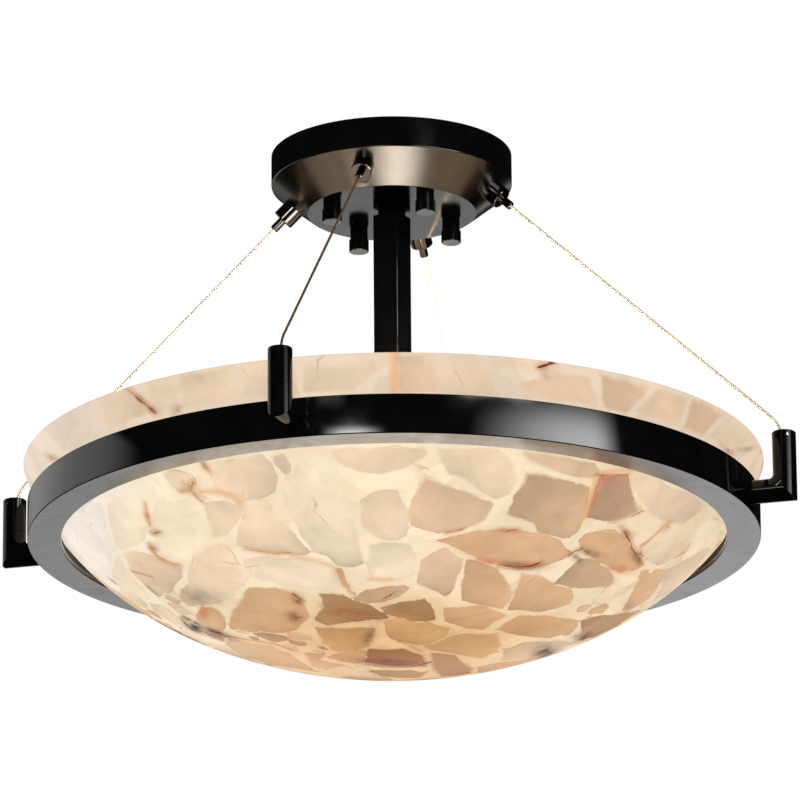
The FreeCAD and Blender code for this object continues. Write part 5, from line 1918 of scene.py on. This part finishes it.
    def stained(self, anchors: np.ndarray) -> tuple[np.ndarray, np.ndarray]:
        """Finds each point's nearest vein.

        Args:
            anchors: each vertex's place on the outer face.

        Returns:
            Each point's distance from its vein, how far it lies beside and beyond it, and the
            vein's half width, as four rows; and the vein's colour.
        """
        rows = np.zeros((4, len(anchors)))
        rows[:2] = self.far
        tint = np.ones((len(anchors), 4))
        for vein in SHOWN_VEINS:
            spots = np.array([self.place_of(point) for point in vein.points])
            middle = spots.mean(axis=0)
            reach = np.linalg.norm(spots - middle, axis=1).max() + self.vein_reach
            close = np.nonzero(np.linalg.norm(anchors - middle, axis=1) < reach)[0]
            for start, end in zip(spots, spots[1:]):
                length = np.linalg.norm(end - start)
                ahead = (end - start) / length
                square = np.cross(self.facing((start + end) / 2), ahead)
                along = (anchors[close] - start) @ ahead
                across = (anchors[close] - start) @ square
                beyond = np.maximum(0.0, np.maximum(-along, along - length))
                away = np.hypot(across, beyond)
                wins = away < rows[0][close]
                rows[:, close[wins]] = np.stack([away, across, beyond, np.full(
                    len(close), vein.half_width)])[:, wins]
                tint[close[wins], :3] = screen_colour(*vein.stain.value)[:3]
        return rows, tint

    def shade_patches(self, anchors: np.ndarray) -> tuple[np.ndarray, np.ndarray]:
        """Finds the strongest patch of painted shade at each point.

        Args:
            anchors: each vertex's place on the outer face.

        Returns:
            How much it hides there, and its colour.
        """
        amount = np.zeros(len(anchors))
        tint = np.ones((len(anchors), 4))
        for shade_patch in SHOWN_SHADE_PATCHES:
            middle, first, second = (self.place_of(place) for place in shade_patch.places)
            axes = np.stack([first - middle, second - middle])
            offset = anchors - middle
            shares = offset @ np.linalg.pinv(axes)
            most = self.shade_patch_reach * np.linalg.norm(axes, axis=1).max()
            near = np.linalg.norm(offset, axis=1) < most
            here = shade_patch.share * np.exp(-self.shade_patch_fall * (shares ** 2).sum(axis=1)) * near
            wins = here > amount
            amount[wins] = here[wins]
            tint[wins, :3] = screen_colour(*shade_patch.tint)[:3]
        return amount, tint

    def build(self) -> None:
        """Turns the bowl, sets its chips and dresses it."""
        points, normals, levels = self.profile()
        bowl = turned("stone_bowl", points, normals, closed=False, turns=self.turns)
        steps = np.linspace(0, 2 * math.pi, self.turns, endpoint=False)
        anchors, glow = [], []
        for index, ((out, _), level) in enumerate(zip(points, levels)):
            count = 1 if out < TINY else self.turns
            turn = np.zeros(1) if count == 1 else steps
            anchors.append(self.outer_spot(np.full(count, level), turn))
            glow.append(np.full(count, 1.0 if index < self.rows else self.inner_glow))
        self.paint(bowl, np.concatenate(anchors), np.concatenate(glow), self.scattered())
        ChipStone().dress(bowl, "bowl_stone")
        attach(bowl, "bowl")
        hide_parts("bowl")


# ---- cables


@dataclass(frozen=True)
class Cables:
    """Four stranded cables, each from its post up to its gripper, in mm and degrees."""

    azimuth: float = -15.5
    radius: float = 0.85
    post_at: float = 270.6
    foot_drop: float = 255.4
    corner_drop: float = 218.95
    slope: float = 43.2
    bend: float = 21.5
    top_at: float = 50.6
    bend_far: float = 1.9
    bend_near: float = 0.75
    order: int = 3
    curve_steps: int = 48
    lay: float = 9.0
    steps_per_lay: int = 12
    strands: int = 6
    sides: int = 6
    strand_at: float = 1.7
    strand_gauge: float = 1.5

    def route(self) -> list[np.ndarray]:
        """Works out the line's control points.

        Returns:
            Each point's distance from the stem's axis, and its height.
        """
        slope = math.radians(self.slope)
        tangent = self.bend * math.tan((math.pi / 2 - slope) / 2)
        down, back = np.array((0.0, -1.0)), np.array((-math.cos(slope), math.sin(slope)))
        corner = np.array((self.post_at, -self.corner_drop))
        rise = (self.post_at - self.top_at) / math.cos(slope)
        bend = [corner + way * tangent * share
                for way, share in ((down, self.bend_far), (down, self.bend_near),
                                   (back, self.bend_near), (back, self.bend_far))]
        return [np.array((self.post_at, -self.foot_drop)), *bend, corner + back * rise]

    @staticmethod
    def travelled(line: np.ndarray) -> np.ndarray:
        """How far along a line each of its points lies."""
        steps = np.linalg.norm(np.diff(line, axis=0), axis=1)
        return np.concatenate([[0.0], np.cumsum(steps)])

    def centre_line(self, azimuth: float) -> np.ndarray:
        """Evenly spaced points along one cable's smooth line.

        Args:
            azimuth: the cable's direction in degrees.

        Returns:
            Three columns, in mm.
        """
        curve = bpy.data.curves.new("cable_line", "CURVE")
        curve.dimensions = "3D"
        curve.resolution_u = self.curve_steps
        line = curve.splines.new("NURBS")
        route = self.route()
        line.points.add(len(route) - 1)
        way = heading(azimuth)
        for point, (out, up) in zip(line.points, route):
            spot = way * out
            point.co = (spot.x, spot.y, up, 1.0)
        line.order_u = self.order
        line.use_endpoint_u = True
        holder = bpy.data.objects.new("cable_line", curve)
        bpy.context.scene.collection.objects.link(holder)
        bpy.context.view_layer.update()
        graph = bpy.context.evaluated_depsgraph_get()
        mesh = bpy.data.meshes.new_from_object(holder.evaluated_get(graph))
        rough = np.array([tuple(v.co) for v in mesh.vertices])
        bpy.data.objects.remove(holder)
        bpy.data.curves.remove(curve)
        bpy.data.meshes.remove(mesh)
        lengths = self.travelled(rough)
        count = int(lengths[-1] / (self.lay / self.steps_per_lay)) + 1
        even = np.linspace(0, lengths[-1], count)
        return np.stack([np.interp(even, lengths, rough[:, k]) for k in range(3)], axis=1)

    def strand(self, line: np.ndarray, side: np.ndarray, start: float,
               core: bool) -> tuple[np.ndarray, list[list[int]]]:
        """One strand as a tube.

        Args:
            line: the cable's centre line.
            side: the level direction square to the cable's plane.
            start: the strand's angle at the foot.
            core: whether it is the straight middle strand.

        Returns:
            The tube's points and faces.
        """
        ahead = np.gradient(line, axis=0)
        ahead /= np.linalg.norm(ahead, axis=1)[:, None]
        up = np.cross(ahead, side)
        gauge = self.radius / 3
        turn = start + self.travelled(line) / self.lay * 2 * math.pi
        offset = 0.0 if core else gauge * self.strand_at
        middle = line + offset * (np.cos(turn)[:, None] * side + np.sin(turn)[:, None] * up)
        verts = []
        for step in range(self.sides):
            angle = turn + step / self.sides * 2 * math.pi
            out = np.cos(angle)[:, None] * side + np.sin(angle)[:, None] * up
            verts.append(middle + gauge * self.strand_gauge * out)
        count = len(line)
        points = np.stack(verts, axis=1).reshape(-1, 3)
        faces = []
        for row in range(count - 1):
            for step in range(self.sides):
                ahead_step = (step + 1) % self.sides
                faces.append([row * self.sides + step, row * self.sides + ahead_step,
                              (row + 1) * self.sides + ahead_step,
                              (row + 1) * self.sides + step])
        faces.append(list(range(self.sides))[::-1])
        faces.append([(count - 1) * self.sides + k for k in range(self.sides)])
        return points, faces

    def build(self) -> None:
        """Winds the four cables."""
        for index, name in enumerate(SIDES):
            azimuth = self.azimuth + 90.0 * index
            line = self.centre_line(azimuth)
            side = np.array(tuple(heading(azimuth + 90.0)))
            points, faces = [], []
            for number in range(self.strands + 1):
                start = number / self.strands * 2 * math.pi
                tube, skin = self.strand(line, side, start, number == self.strands)
                base = sum(len(p) for p in points)
                points.append(tube)
                faces.extend([base + k for k in f] for f in skin)
            cable = new_object(f"stranded_cable_{name}", np.concatenate(points), faces)
            # The front cable gets the darker copy of the wire, painted shade.
            finish = SHADED_WIRE if name == "front" else PALE_WIRE
            finish.dress(cable, "cable_steel")
            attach(cable, "root")
            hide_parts(f"cable_{name}")


# ---- the light


class CadNodes:
    """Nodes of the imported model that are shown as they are."""

    @staticmethod
    def dress() -> None:
        """Gives every node the finish of its material slot."""
        slots = {part["node"]: part["material_slot"] for part in frame["record"]["subparts"]}
        for name, node in frame["nodes"].items():
            if node.hide_render:
                continue
            finish = SLOT_FINISHES[slots[name]]
            if name.startswith("thumb_nut"):
                finish = KNOB_PLATE
            elif name.startswith("post_"):
                finish = POST_BLACK
            finish.dress(node)


def main() -> None:
    """Builds the light piece by piece, then the studio round it."""
    logging.basicConfig(level=logging.INFO, format="%(name)s: %(message)s")
    bpy.context.scene.view_settings.view_transform = "Standard"
    Viewpoint().place()
    for piece in (Canopy(), AngleRing(), StoneBowl(), Cables()):
        piece.build()
        LOG.info("%s built", type(piece).__name__)
    CadNodes.dress()
    LOG.info("nodes dressed")
    Studio().build()


if __name__ == "__main__":
    main()
